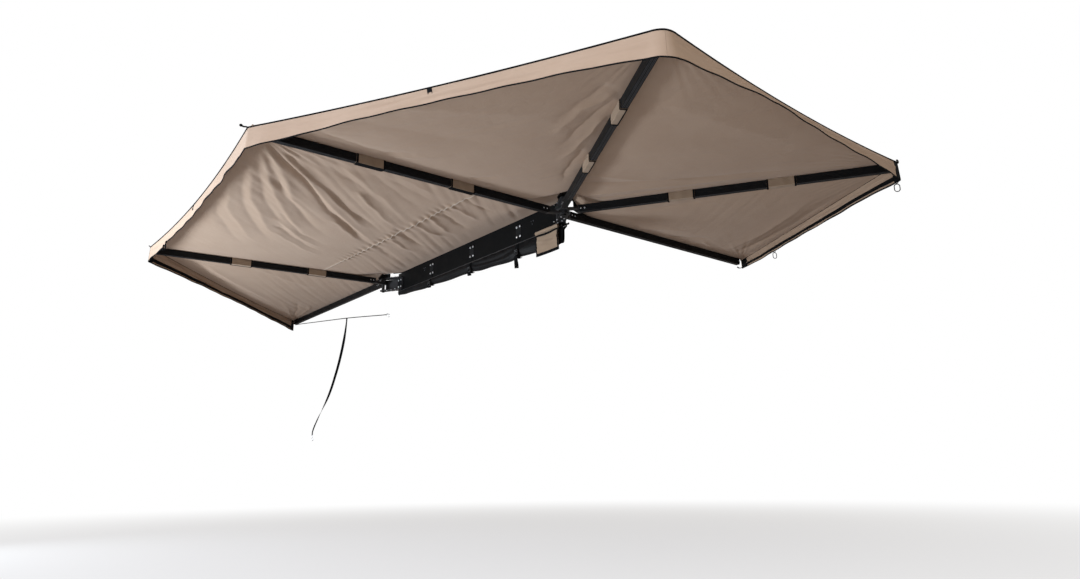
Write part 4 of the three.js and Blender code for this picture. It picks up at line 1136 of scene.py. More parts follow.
# A screw head's outline down into its socket, as shares of its radius and height
HEAD_PROFILE = (
    (1.0, 0.0), (1.0, 0.3), (0.92, 0.62), (0.66, 0.93), (0.48, 1.0), (0.44, 1 - SOCKET_DEPTH / BOLT_HEAD),
)
PLATE_CORNER = 0.006
PLATE_CORNER_STEPS = 4
HUB_WEB_FRONT = 0.0469
# Three rivets in a triangle at each place along the rail
RIVET_GROUPS = (-0.826, 0.713)
RIVET_PLACES = ((-0.5, 0.0), (0.5, 0.0), (0.0, -0.9))
RIVET_GAP = 0.024
RIVET_LEVEL = 0.036
RIVET_RADIUS = 0.005
RIVET_HEAD = 0.0022
ROOT_SCREW_REACHES = (0.112, 0.138)
ROOT_SCREW_RADIUS = 0.0048
ROOT_SCREW_HEAD = 0.0022
CAP_SCREW_INSET = 0.014
CAP_SCREW_RADIUS = 0.004
CAP_SCREW_HEAD = 0.0018
RIB_PLACES = (-0.011, -0.0045, 0.0045, 0.011)
RIB_WIDTH = 0.0028
RIB_THICK = 0.0005
RIB_START = 0.25
RIB_END_INSET = 0.012
# Screws in the hub plates, as (toward the rail's middle, outboard of its front)
HUB_SCREW_PLACES = (
    (0.155, 0.028), (0.155, 0.062), (0.108, 0.03), (0.108, 0.075), (0.062, 0.05), (0.05, 0.088),
)
HUB_SCREW_RADIUS = 0.0055
HUB_SCREW_HEAD = 0.003


def finish_solids():
    """Gives the rigid solids that stay their finishes, and softens their edges."""
    for name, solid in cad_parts.items():
        for part, finish in NODE_FINISHES:
            if part not in name:
                continue
            for slot in solid.material_slots:
                slot.material = finish
            weld = solid.modifiers.new("weld", "WELD")
            weld.merge_threshold = WELD_REACH
            edge = solid.modifiers.new("edge", "BEVEL")
            edge.width = EDGE_RADIUS
            edge.segments = 2
            edge.limit_method = "ANGLE"
            edge.harden_normals = True


def button_head(name, place, axis, radius=BOLT_RADIUS, height=BOLT_HEAD, finish=ZINC):
    """A button-head screw with a round washer face and its socket."""
    profile = [(radius * aside, height * up) for aside, up in HEAD_PROFILE]
    return turned(name, profile, place, axis, finish)


def rounded_plate(name, low, high, corner, finish):
    """A plate across X and Z with round corners, between two Y values."""
    outline = []
    for x, z, start in ((high[0] - corner, high[2] - corner, 0.0), (low[0] + corner, high[2] - corner, 0.5),
                        (low[0] + corner, low[2] + corner, 1.0), (high[0] - corner, low[2] + corner, 1.5)):
        for step in range(PLATE_CORNER_STEPS + 1):
            turn = math.pi * (start + step / PLATE_CORNER_STEPS / 2)
            outline.append((x + corner * math.cos(turn), z + corner * math.sin(turn)))
    count = len(outline)
    edge = min(corner, high[1] - low[1]) * 0.35
    middle_x, middle_z = (low[0] + high[0]) / 2, (low[2] + high[2]) / 2
    points, faces = [], []
    for y, inset in ((low[1], 0.0), (high[1] - edge, 0.0), (high[1], edge)):
        for x, z in outline:
            points.append((x - math.copysign(inset, x - middle_x), y, z - math.copysign(inset, z - middle_z)))
    for ring in range(2):
        for side in range(count):
            a, b = ring * count + side, ring * count + (side + 1) % count
            faces.append((a, a + count, b + count, b))
    faces.append(tuple(range(count)))
    faces.append(tuple(range(2 * count, 3 * count))[::-1])
    return make_mesh(name, points, faces, finish, None, 30)


def bolt_group(node, columns_gap, rows_gap, name):
    """Four button-head screws on a washer plate, in place of a solid."""
    low, high = np.array(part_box(node))
    face = high[1] - BOLT_HEAD
    seat = RAIL_FRONT + SEAT_GAP if "mount" in node else HUB_WEB_FRONT
    plate_low, plate_high = (low[0], seat, low[2]), (high[0], face, high[2])
    pieces = [rounded_plate(name + "_plate", plate_low, plate_high, PLATE_CORNER, ANODISED)]
    middle = (low + high) / 2
    for side in (-1, 1):
        for row in (-1, 1):
            place = (middle[0] + side * columns_gap / 2, face, middle[2] + row * rows_gap / 2)
            pieces.append(button_head(name + "_screw", place, (0, 1, 0)))
    dress(joined(name, pieces), "frame", "zinc", node)


def make_rail_fasteners():
    """The bolts of the rail's brackets and hubs, and its rivets."""
    for number in range(1, len(BRACKET_PLACES) + 1):
        bolt_group(f"mount_bolts_{number}", BOLT_COLUMN_GAP, BOLT_ROW_GAP, f"mount_screws_{number}")
    for hub in HUBS:
        bolt_group(f"{hub}_hub_bolts", HUB_BOLT_COLUMN_GAP, HUB_BOLT_ROW_GAP, f"{hub}_hub_screws")
    rivets = []
    for x in RIVET_GROUPS:
        for aside, up in RIVET_PLACES:
            place = (x + aside * RIVET_GAP, RAIL_FRONT, RIVET_LEVEL + up * RIVET_GAP)
            rivets.append(button_head("rail_rivet", place, (0, 1, 0), RIVET_RADIUS, RIVET_HEAD, PAINTED_HIGHLIGHT_ALUMINIUM))
    dress(joined("rail_rivets", rivets), "frame", "zinc")


def make_arm_screws(letter):
    """Screws that hold an arm's knuckle and end cap in its tube, on both sides."""
    _, left = arm_direction(letter)
    places = [(reach, ROOT_SCREW_RADIUS, ROOT_SCREW_HEAD) for reach in ROOT_SCREW_REACHES]
    places.append((ARMS[letter][3] - CAP_SCREW_INSET, CAP_SCREW_RADIUS, CAP_SCREW_HEAD))
    screws = []
    for reach, radius, head in places:
        for side in (-1, 1):
            place = arm_place(letter, reach, side * TUBE_WIDTH / 2)
            screws.append(button_head("arm_screw", place, (*(side * left), 0.0), radius, head))
    dress(joined(f"arm_{letter}_screws", screws), f"arm_{letter}", "zinc")


def make_arm_ribs(letter):
    """Low ribs along the underside of an arm's tube, where the extrusion's grooves leave them, in a grey that
    is painted highlight.
    """
    reach = np.linspace(RIB_START, ARMS[letter][3] - RIB_END_INSET, 12)
    ribs = []
    for aside in RIB_PLACES:
        line = arm_place(letter, reach, aside, -TUBE_HEIGHT / 2 - RIB_THICK / 2)
        ribs.append(sweep("rib", line, flat_section(RIB_WIDTH, RIB_THICK), PAINTED_HIGHLIGHT_ALUMINIUM))
    dress(joined(f"arm_{letter}_ribs", ribs), f"arm_{letter}", "anodised")


def make_hub_screws(hub):
    """Screws on the hub plates' outer faces, which hold the spacers between them."""
    x, _ = HUBS[hub]
    inward = -math.copysign(1, x)
    screws = []
    for reach, out in HUB_SCREW_PLACES:
        for level, axis in ((HUB_BOTTOM, -1), (HUB_TOP, 1)):
            place = (x + inward * reach, RAIL_FRONT + out, level)
            screws.append(button_head("hub_plate_screw", place, (0, 0, axis), HUB_SCREW_RADIUS, HUB_SCREW_HEAD))
    dress(joined(f"{hub}_hub_plate_screws", screws), "frame", "zinc")


# Cover, its straps and its pouch

COVER_LOW, COVER_HIGH = np.array(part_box("travel_cover"))
COVER_THICK = 0.0016
COVER_COLUMNS = 260
COVER_ROWS = 60
COVER_TOP = -0.0865
# How deep the sleeve hangs at its rear and front end
COVER_DROPS = (0.135, 0.034)
# The sleeve's section, from the rail's front edge round to its back, as (outboard, share of its drop)
COVER_SECTION = [
    (0.0372, 0.0), (0.0425, 0.07), (0.0495, 0.185), (0.0545, 0.36), (0.0552, 0.58), (0.0525, 0.775),
    (0.0445, 0.92), (0.031, 1.0), (0.0175, 0.98), (0.0105, 0.855), (0.0085, 0.61), (0.0082, 0.315),
    (0.0085, 0.006),
]
# How its ends are drawn shut: over what run, how nearly, and toward which plane
COVER_SHUT_RUN = 0.09
COVER_SHUT_SHARE = 0.72
COVER_SHUT_PLANE = 0.046
# Where a strap holds the cover: over what run, how far the cloth is pressed in, and how far it is lifted
STRAP_PINCH_RUN = 0.07
STRAP_PINCH = 0.004
STRAP_LIFT = 0.012
# Long folds in the cover: their height, radians round its section, wander, its run and its start
COVER_FOLDS = ((0.0035, 21, 1.6, 0.21, 0), (0.0022, 37, 2.3, 0.13, 1))
CROSS_FOLD_HEIGHT = 0.002
CROSS_FOLD_RUN = 0.018
END_FOLD_HEIGHT = 0.004
END_FOLD_START = 1.1
# How the cover's hem waves: by how far, over what run and from where
COVER_SWAYS = ((0.005, 0.19, 0.8), (0.003, 0.067, 0))
COVER_BINDING = (0.004, 0.012)
# The row of the sleeve's grid that the zip runs along
ZIP_ROW = 3
ZIP_TAPE = (0.002, 0.016)
ZIP_TEETH = [(-0.0012, -0.0035), (0.0012, -0.0035), (0.0016, 0.0), (0.0012, 0.0035), (-0.0012, 0.0035)]
STRAP_WIDTH = 0.031
STRAP_THICK = 0.0022
# A strap from the rail to the cover's top as (outboard, height), then round the cover and down its
# loose tail as (outboard, share of the drop)
STRAP_LEAD = [(0.0397, -0.052), (0.0397, -0.082)]
STRAP_ROUTE = [
    (0.0452, 0.1), (0.0552, 0.26), (0.0592, 0.43), (0.0592, 0.61), (0.0565, 0.8), (0.049, 0.94),
    (0.0335, 1.025), (0.017, 1.005),
]
STRAP_TAIL = [(0.0655, 0.0), (0.0665, 0.27), (0.0645, 0.55), (0.0605, 0.79), (0.0585, 1.0)]
TAIL_STEPS = 16
TAIL_TWIST = 1.2
BUCKLE_HEIGHT = 0.042
BUCKLE_WIDTH = 0.04
# How much smaller the middle line of the buckle's frame is than the buckle
BUCKLE_INSET = 0.006
BUCKLE_FRAME_RADIUS = 0.0032
BUCKLE_CORNER = 0.004
BUCKLE_OUT = 0.0648
BUCKLE_DROP = 0.023
BUCKLE_BAR_RADIUS = 0.0025
BUCKLE_BAR_REACH = 0.013
BUCKLE_BAR_LEVELS = (-0.0065, 0.0065)


def cover_drop(x):
    """How deep the sleeve hangs at a place: it is gathered up toward the front."""
    return between(*COVER_DROPS, (x - COVER_LOW[0]) / (COVER_HIGH[0] - COVER_LOW[0]))


def cover_sleeve():
    """The cover's cloth as a grid: it hangs as an open sleeve, pinched where the straps hold it."""
    along = np.linspace(COVER_LOW[0], COVER_HIGH[0], COVER_COLUMNS)
    slack = np.ones(COVER_COLUMNS)
    for place in BRACKET_PLACES:
        slack *= 1 - 0.75 * np.exp(-((along - place) / STRAP_PINCH_RUN) ** 2)
    x, slack = along[:, None], slack[:, None]
    middle_drop = sum(COVER_DROPS) / 2
    section = along_curve([(0.0, y, share * middle_drop) for y, share in COVER_SECTION], COVER_ROWS)
    share = np.linspace(0, 1, COVER_ROWS)[None]
    body = np.sin(math.pi * np.clip(share * 1.25, 0, 1)) ** 1.2
    drape = np.sin(math.pi * share) ** 1.5
    long_folds = sum(height * np.sin(share * radians + wander * np.sin(x / run + start))
                     for height, radians, wander, run, start in COVER_FOLDS)
    near_top = np.exp(-((share - 0.12) / 0.1) ** 2)
    cross_folds = CROSS_FOLD_HEIGHT * np.sin(x / CROSS_FOLD_RUN + 5 * share) * near_top
    end_folds = END_FOLD_HEIGHT * np.sin(share * 9) * np.sign(x) * (np.abs(x) > END_FOLD_START)
    waves = sum(height * np.sin(x / run + start) for height, run, start in COVER_SWAYS)
    sway = STRAP_LIFT * (1 - slack) + waves
    out = section[None, :, 1] + (long_folds * slack - STRAP_PINCH * (1 - slack)) * body + cross_folds * slack
    out = np.clip(out, COVER_LOW[1] + COVER_THICK, COVER_HIGH[1] - COVER_THICK)
    from_end = np.minimum(x - COVER_LOW[0], COVER_HIGH[0] - x)
    shut = (1 - smooth(from_end / COVER_SHUT_RUN)) * COVER_SHUT_SHARE
    out = between(out, COVER_SHUT_PLANE, shut * smooth((1 - share) * 12))
    level = COVER_TOP - section[None, :, 2] / middle_drop * cover_drop(x) + sway * drape
    return np.stack([x + end_folds, out, level], -1)


def make_cover():
    """The travel cover, with its bound ends and its zip."""
    grid = cover_sleeve()
    sleeve = sheet_mesh("cover_sleeve", grid, COVER_THICK, COVER_CLOTH)
    dress(sleeve, "frame", "cover", "travel_cover")
    section = flat_section(*COVER_BINDING)
    bindings = [sweep("cover_end_binding", grid[end], section, WEBBING, ups=(1.0, 0.0, 0.0)) for end in (0, -1)]
    zip_line = grid[:, ZIP_ROW] + [0.0, COVER_THICK, 0.0]
    tape = sweep("cover_zip_tape", zip_line, flat_section(*ZIP_TAPE), WEBBING)
    teeth = sweep("cover_zip_teeth", zip_line + [0.0, COVER_THICK, 0.0], ZIP_TEETH, NYLON)
    trims = [joined("cover_end_bindings", bindings), tape, teeth]
    for trim in trims:
        dress(trim, "frame", "webbing")


def make_cover_strap(number, x):
    """A strap round the cover, with its buckle and its loose tail."""
    drop = cover_drop(x)
    level = COVER_TOP - drop / 2 - BUCKLE_DROP
    below = [(x, y, COVER_TOP - share * drop) for y, share in STRAP_ROUTE]
    route = along_curve([(x, y, z) for y, z in STRAP_LEAD] + below, 40)
    slope = np.gradient(route, axis=0)
    ups = np.stack([np.zeros(len(route)), -slope[:, 2], slope[:, 1]], 1)
    section = flat_section(STRAP_WIDTH, STRAP_THICK)
    strap = sweep("strap", route, section, WEBBING, ups=ups)
    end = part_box(f"cover_strap_{number}")[0][2] + STRAP_THICK
    tail_route = along_curve([(x, y, between(level, end, share)) for y, share in STRAP_TAIL], TAIL_STEPS)
    # The tail twists toward the rear as it hangs
    twist = smooth(np.linspace(-0.2, 1.0, TAIL_STEPS))
    tail_ups = np.stack([-TAIL_TWIST * twist, np.ones(TAIL_STEPS), np.zeros(TAIL_STEPS)], 1)
    tail = sweep("strap_tail", tail_route, section, WEBBING, ups=tail_ups)
    loop = rounded_loop(BUCKLE_WIDTH - BUCKLE_INSET, BUCKLE_HEIGHT - BUCKLE_INSET, BUCKLE_CORNER)
    outline = np.stack([x + loop[:, 0], np.full(len(loop), BUCKLE_OUT), level + loop[:, 1]], 1)
    bars = [sweep("strap_buckle", outline, round_section(BUCKLE_FRAME_RADIUS, 8), NYLON, closed=True,
                  ups=(0.0, 1.0, 0.0))]
    for up in BUCKLE_BAR_LEVELS:
        bar = [(x + aside * BUCKLE_BAR_REACH, BUCKLE_OUT, level + up) for aside in (-1, 0, 1)]
        bars.append(sweep("strap_bar", bar, round_section(BUCKLE_BAR_RADIUS, 8), NYLON))
    dress(joined(f"cover_webbing_{number}", [strap, tail]), "frame", "webbing", f"cover_strap_{number}")
    dress(joined(f"cover_buckle_{number}", bars), "frame", "plastic")


POUCH_LOW, POUCH_HIGH = np.array(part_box("cover_end_pouch"))
POUCH_LENGTH = 0.17
POUCH_THICK = 0.0035
POUCH_COLUMNS = 40
POUCH_ROWS = 36
POUCH_OUT = 0.004
POUCH_SWELL = 0.005
POUCH_SAG = 0.002
# Wrinkles in the pouch's flap: their height, and their radians across it and down it
POUCH_WRINKLES = ((0.0018, 9, 4), (0.0014, -6, 17), (0.0009, 9, 31))
POUCH_ROLL = 0.0155
ROLL_END_RADIUS = 0.003
ROLL_TURNS = 2.1
ROLL_THICK = 0.0016
ROLL_SQUASH = 0.6
ROLL_GAP = 0.0005
# How the roll swells along its length: by what share, and over what run
ROLL_RIPPLES = ((0.05, 0.021), (0.03, 0.009))
BAND_SECTION = (0.0022, 0.014)
BAND_OUT = 0.0095
BAND_BOW = 0.002
BAND_SAG = 0.009
BAND_GAP = 0.004
POUCH_TRIM = 0.011
POUCH_STRIP = 0.02
STRIP_LAP = 0.003
TRIM_THICK = 0.0055
STRIP_THICK = 0.0058


def pouch_grid(width):
    """The pouch's flap as a grid, slightly swollen and wrinkled."""
    u, v = np.meshgrid(np.linspace(0, 1, POUCH_COLUMNS), np.linspace(0, 1, POUCH_ROWS), indexing="ij")
    top = POUCH_HIGH[2] - POUCH_ROLL * 1.4
    wrinkles = sum(height * np.sin(across * u + down * v) for height, across, down in POUCH_WRINKLES)
    out = POUCH_LOW[1] + POUCH_OUT + (POUCH_SWELL + wrinkles) * np.sin(math.pi * v)
    level = between(top, POUCH_LOW[2] + POUCH_STRIP, v) - POUCH_SAG * np.sin(math.pi * u) * v
    return np.stack([POUCH_LOW[0] + width * u, out, level], -1), np.stack([u * width, v * POUCH_LENGTH], -1)


def make_pouch_roll():
    """The rolled top of the pouch, and the length of cloth in it."""
    turn = np.linspace(0, ROLL_TURNS * TURN, 60)
    radius = between(POUCH_ROLL, ROLL_END_RADIUS, turn / turn[-1])
    centre_out, centre_up = POUCH_LOW[1] + POUCH_ROLL * ROLL_SQUASH, POUCH_HIGH[2] - POUCH_ROLL
    centre = np.array([centre_out + ROLL_GAP, centre_up - ROLL_GAP])
    spiral = np.stack([ROLL_SQUASH * radius * np.sin(turn + 2.6), radius * np.cos(turn + 2.6)], 1)
    x = np.linspace(POUCH_LOW[0], POUCH_HIGH[0], POUCH_COLUMNS)
    swell = 1 + sum(share * np.sin(x / run)[:, None] for share, run in ROLL_RIPPLES)
    ring = centre + spiral[None] * swell[..., None]
    grid = np.concatenate([np.broadcast_to(x[:, None, None], ring.shape[:2] + (1,)), ring], -1)
    length = length_of(spiral)
    uv = np.stack(np.meshgrid(x, np.linspace(0, length, len(turn)), indexing="ij"), -1)
    return sheet_mesh("pouch_roll", grid, ROLL_THICK, SHADED_WRAP_CANVAS, uv), length


def make_pouch():
    """The end pouch: a taupe flap with a rolled top, black trims and a band that holds the roll."""
    width = POUCH_HIGH[0] - POUCH_LOW[0]
    grid, uv = pouch_grid(width)
    panel = sheet_mesh("pouch_panel", grid, POUCH_THICK, SHADED_WRAP_CANVAS, uv)
    roll, roll_length = make_pouch_roll()
    band_level = POUCH_HIGH[2] - 2 * POUCH_ROLL - BAND_GAP
    band_path = []
    for share in np.linspace(0, 1, 16):
        bow = math.sin(math.pi * share)
        band_path.append((POUCH_LOW[0] + width * share, POUCH_LOW[1] + BAND_OUT + BAND_BOW * bow,
                          band_level - BAND_SAG * bow))
    trims = [sweep("pouch_band", band_path, flat_section(*BAND_SECTION), WEBBING)]
    for end, inward in ((0, 1), (-1, -1)):
        side = grid[end] + [inward * POUCH_TRIM / 2, 0.0, 0.0]
        section = flat_section(POUCH_TRIM, TRIM_THICK)
        trims.append(sweep("pouch_side_trim", side, section, WEBBING, ups=(0.0, 1.0, 0.0)))
    bottom = grid[:, -1] - [0.0, 0.0, POUCH_STRIP / 2 - STRIP_LAP]
    trims.append(sweep("pouch_bottom_strip", bottom, flat_section(STRIP_THICK, POUCH_STRIP), WEBBING))
    trim = dress(joined("pouch_trims", trims), "frame", "webbing")
    dress(panel, "frame", "wrap", "cover_end_pouch")
    dress(roll, "frame", "wrap")


# Fabric wraps on the arms

WRAP_LENGTH = 0.175
WRAP_THICK = 0.0016
WRAP_EASE = 0.0026
WRAP_CORNER = 0.0035
WRAP_COLUMNS = 30
WRAP_SIDES = 72
WRAP_BULGE = 0.0011
WRAP_LOOSE = 0.0006
WRAP_LOOSE_RUN = 0.012
WRAP_BINDING = 0.011
WRAP_TAPE_DROP = 0.0045
# The black tape along some wraps' undersides: its place beside the middle, and its width
WRAP_TAPES = {"a": (0.0, 0.038), "b": (0.015, 0.006), "e": (-0.013, 0.01)}


def make_wrap(letter, number):
    """A sleeve of canvas round an arm, bound in black, with its fastening tape along the bottom."""
    body = f"arm_{letter}"
    node = f"{body}_wrap_{number}"
    ahead, left = (np.array([*way, 0.0]) for way in arm_direction(letter))
    middle = middle_of(node)
    loop = rounded_loop(TUBE_WIDTH + WRAP_EASE, TUBE_HEIGHT + WRAP_EASE, WRAP_CORNER, WRAP_SIDES // 4)
    along = np.linspace(-WRAP_LENGTH / 2, WRAP_LENGTH / 2, WRAP_COLUMNS)
    loose = WRAP_LOOSE * (np.sin(along / WRAP_LOOSE_RUN)[:, None] * np.sin(np.arange(len(loop)) / 5)[None] + 1)
    bulge = WRAP_BULGE * np.cos(math.pi * along / WRAP_LENGTH)[:, None]
    normal = loop / np.linalg.norm(loop, axis=1, keepdims=True)
    ring = loop[None] + normal[None] * (loose + bulge)[..., None]
    around = ring[..., :1] * left + ring[..., 1:] * np.array([0.0, 0.0, 1.0])
    grid = middle + along[:, None, None] * ahead + around
    girth = length_of(np.concatenate([ring[0], ring[0, :1]]))
    wrap = tube_cloth(f"{body}_sleeve_{number}", grid, WRAP_THICK, SHADED_WRAP_CANVAS, (WRAP_LENGTH, girth))
    trims = []
    for end in (1, -2):
        edge = grid[end] + around[end] * 0.03
        section = flat_section(WRAP_BINDING, WRAP_THICK)
        trims.append(sweep("wrap_binding", edge, section, WEBBING, closed=True, ups=around[end]))
    if letter in WRAP_TAPES:
        aside, width = WRAP_TAPES[letter]
        beside = aside * left - [0.0, 0.0, TUBE_HEIGHT / 2 + WRAP_TAPE_DROP]
        tape_path = [middle + reach * ahead + beside for reach in along[1:-1]]
        trims.append(sweep("wrap_tape", tape_path, flat_section(width, WRAP_THICK), WEBBING))
    trim = dress(joined(f"{body}_sleeve_trims_{number}", trims), body, "webbing")
    dress(wrap, body, "wrap", node)


finish_solids()
make_rail_fasteners()
for arm in ARMS:
    make_arm_screws(arm)
    make_arm_ribs(arm)
for place in HUBS:
    make_hub_screws(place)
make_cover()
for strap_number, strap_place in enumerate(BRACKET_PLACES, 1):
    make_cover_strap(strap_number, strap_place)
make_pouch()
for arm in WRAPPED_ARMS:
    for wrap_number in (1, 2):
        make_wrap(arm, wrap_number)


# Canopy's fittings at the hubs, the corners and the rim

BOOT_RADIUS = 0.046
BOOT_TOP_RADIUS = 0.028
BOOT_THICK = 0.0014
BOOT_TOP_GAP = 0.001
APRON_SHARES = (0.0115, 0.031)
APRON_FOLD = 0.002
GUSSET_START = 0.03
GUSSET_REACH = 0.34
GUSSET_BELLY = 0.003
GUSSET_BELLY_RUN = 0.03
GUSSET_GAP = 0.001
GUSSET_LEAST_DEPTH = 0.002
CHEEK_THICK = 0.004
# The front hub's cheek plate seen from above, as (from the pin along the rail, outboard)
CHEEK_ROUTE = ((-0.104, 0.0428), (-0.04, 0.075), (0.018, 0.103))
CORNER_LOOP_RADIUS = 0.0075
CORNER_LOOP_WIRE = 0.0022
CORNER_LOOP_REACH = 0.012
CORNER_STRAP_WIDTH = 0.02
CORNER_STRAP_THICK = 0.002
CORNER_STRAP_START = 0.0095
CORNER_STRAP_INSET = 0.003
TAIL_THICK = 0.0035
# Loose strap ends that stand out from some corners, as (reach, height) from the cloth's corner, and
# their widths
CORNER_TAILS = {
    "a": ([(-0.004, 0.0), (0.008, 0.004), (0.02, 0.0015), (0.034, 0.005)], 0.012),
    "e": ([(-0.004, 0.0), (0.007, 0.005), (0.014, 0.012)], 0.012),
    "c": ([(-0.006, 0.001), (-0.004, 0.013), (0.0, 0.02), (0.006, 0.014), (0.008, 0.002)], 0.02),
    "d": ([(0.001, -0.06), (-0.018, -0.069), (-0.04, -0.071), (-0.058, -0.065)], 0.012),
}
# The knot in the tail at arm a, as (radius, height)
TAIL_KNOT = [
    (0.001, -0.008), (0.005, -0.0065), (0.0075, -0.0015), (0.0072, 0.003), (0.004, 0.0075), (0.001, 0.008),
]
SEAM_TAPE_WIDTH = 0.026
SEAM_TAPE_THICK = 0.0012
SEAM_TAPE_LIFT = 0.0002
STITCH_SECTION = (0.0014, 0.0006)
STITCH_SHARE = 0.36


def make_apex_boot(hub):
    """The gathered black boot that closes the canopy's peak round a hub pin."""
    x, _ = HUBS[hub]
    share = np.linspace(0, 1, 9)[:, None]
    angle = full_turn(96)[None]
    gathers = 1 + 0.045 * np.sin(13 * angle) * (1 - 0.5 * share)
    radius = between(BOOT_RADIUS, BOOT_TOP_RADIUS, smooth(share)) * gathers
    height = between(HUB_TOP + BOOT_THICK, RAIL_TOP - BOOT_TOP_GAP, share) + 0 * angle
    grid = np.stack([x + radius * np.cos(angle), PIN_REACH + radius * np.sin(angle), height], -1)
    girth = TURN * BOOT_RADIUS
    cloth = tube_cloth(f"{hub}_apex_boot", grid, BOOT_THICK, COVER_CLOTH, (RAIL_TOP - HUB_TOP, girth))
    boot = dress(cloth, "frame", "cover")


def make_front_apron():
    """The black apron that closes the gap under the side panel's edge, beside the front hub's boot."""
    share = np.linspace(*APRON_SHARES, 14)
    top = inner_edge("e", "a", share)
    down = np.linspace(0, 1, 6)
    grid = np.repeat(top[:, None], len(down), axis=1)
    grid[..., 2] = between(RAIL_TOP, HUB_TOP + BOOT_THICK, down)[None]
    grid[..., 1] += APRON_FOLD * np.sin(share[:, None] * 1200) * np.sin(math.pi * down)[None]
    apron = dress(sheet_mesh("front_apron", grid, BOOT_THICK, COVER_CLOTH), "frame", "cover")


def make_edge_gusset(letter, side):
    """The black gusset that closes the gap between the canopy's free edge and its arm, near the hub."""
    hub, _, _, length = ARMS[letter]
    _, level = HUBS[hub]
    reach = np.linspace(GUSSET_START, GUSSET_REACH, 60)
    top = arm_line(letter, side, (reach - APEX_RADIUS) / (length + CORNERS[letter][0] - APEX_RADIUS))
    low = np.where(reach < TUBE_START, HUB_TOP + BOOT_THICK, level + TUBE_HEIGHT / 2 + GUSSET_GAP)
    low = np.minimum(low, top[:, 2] - GUSSET_LEAST_DEPTH)
    share = np.linspace(0, 1, 6)
    grid = np.repeat(top[:, None], len(share), axis=1)
    grid[..., 2] = top[:, None, 2] - (top[:, 2] - low)[:, None] * share[None]
    _, left = arm_direction(letter)
    belly = GUSSET_BELLY * np.sin(math.pi * share)[None] * np.sin(reach / GUSSET_BELLY_RUN)[:, None]
    grid[..., :2] += belly[..., None] * left
    gusset = dress(sheet_mesh(f"edge_gusset_{letter}", grid, BOOT_THICK, COVER_CLOTH), f"arm_{letter}", "cover")


def make_front_cheek():
    """The upright plate that ties the front hub's two plates together along their inner edge."""
    height = HUB_TOP - HUB_BOTTOM - 2 * HUB_PLATE
    path = [(HUB_X + along, out, (HUB_TOP + HUB_BOTTOM) / 2) for along, out in CHEEK_ROUTE]
    cheek = sweep("front_hub_cheek", along_curve(path, 12), flat_section(CHEEK_THICK, height), POWDER_COAT)
    dress(cheek, "frame", "coated_steel")


def webbing_path(name, letter, route, width=CORNER_STRAP_WIDTH, thick=CORNER_STRAP_THICK):
    """A webbing strap in an arm's upright plane, through (reach past the arm's end, height) points."""
    _, left = arm_direction(letter)
    points = along_curve(route, 4 * len(route))
    places = arm_place(letter, ARMS[letter][3] + points[:, 0], 0.0, points[:, 1])
    ups = np.cross(np.array([*left, 0.0]), np.gradient(places, axis=0))
    return sweep(name, places, flat_section(width, thick), WEBBING, ups=ups)


def cloth_corner(letter):
    """The cloth's corner over an arm: how far past the arm's end, and how high over its middle."""
    reach, droop, _ = CORNERS[letter]
    return reach, TUBE_HEIGHT / 2 + CLOTH_LIFT - droop


def make_corner_strap(letter):
    """The strap from the canopy's corner, with its loop round the peg on the arm's end."""
    ahead, _ = arm_direction(letter)
    turn = full_turn(20)
    reaches = np.full(20, ARMS[letter][3] + CORNER_LOOP_REACH)
    ring = arm_place(letter, reaches, CORNER_LOOP_RADIUS * np.cos(turn), CORNER_LOOP_RADIUS * np.sin(turn))
    loop = sweep("loop", ring, round_section(CORNER_LOOP_WIRE, 8), WEBBING, closed=True, ups=(*ahead, 0.0))
    reach, top = cloth_corner(letter)
    reach, top = reach - CORNER_STRAP_INSET, top - CORNER_STRAP_INSET
    route = [(between(CORNER_LOOP_REACH, reach, share), between(CORNER_STRAP_START, top, share ** 1.2))
             for share in (0.0, 0.3, 0.7, 1.0)]
    strap = webbing_path("strap", letter, route)
    dress(joined(f"corner_strap_{letter}", [loop, strap]), f"arm_{letter}", "webbing")


def make_corner_tail(letter):
    """A loose strap end at a corner, with a knot in it at arm a."""
    points, width = CORNER_TAILS[letter]
    reach, top = cloth_corner(letter)
    route = [(reach + ahead, top + up) for ahead, up in points]
    pieces = [webbing_path("tail", letter, route, width, TAIL_THICK)]
    if letter == "a":
        place = arm_place(letter, ARMS[letter][3] + route[-1][0], 0.0, route[-1][1])
        pieces.append(turned("knot", TAIL_KNOT, place, (0, 1, 0), WEBBING, 14))
    dress(joined(f"corner_tail_{letter}", pieces), f"arm_{letter}", "webbing")


def make_arm_tape(letter):
    """The taped seam over the canopy along an arm, with a line of thread down each side."""
    share = np.linspace(0.02, 0.992, 90)
    line = (arm_line(letter, -1, share) + arm_line(letter, 1, share)) / 2
    line[:, 2] += CLOTH_THICK / 2 + SEAM_TAPE_THICK / 2 + SEAM_TAPE_LIFT
    left = np.array([*arm_direction(letter)[1], 0.0])
    # At the canopy's free edges the tape is black and lies inside the edge
    inward = {"d": -1, "f": 1}.get(letter, 0)
    line += left * inward * SEAM_TAPE_WIDTH / 2
    section = flat_section(SEAM_TAPE_WIDTH, SEAM_TAPE_THICK)
    pieces = [sweep("tape", line, section, WEBBING if inward else CANVAS)]
    for side in (-1, 1):
        row = line + [0.0, 0.0, SEAM_TAPE_THICK / 2] + left * side * SEAM_TAPE_WIDTH * STITCH_SHARE
        pieces.append(sweep("stitch", row, flat_section(*STITCH_SECTION), THREAD))
    dress(joined(f"arm_{letter}_seam_tape", pieces), f"arm_{letter}", "webbing" if inward else "canopy")


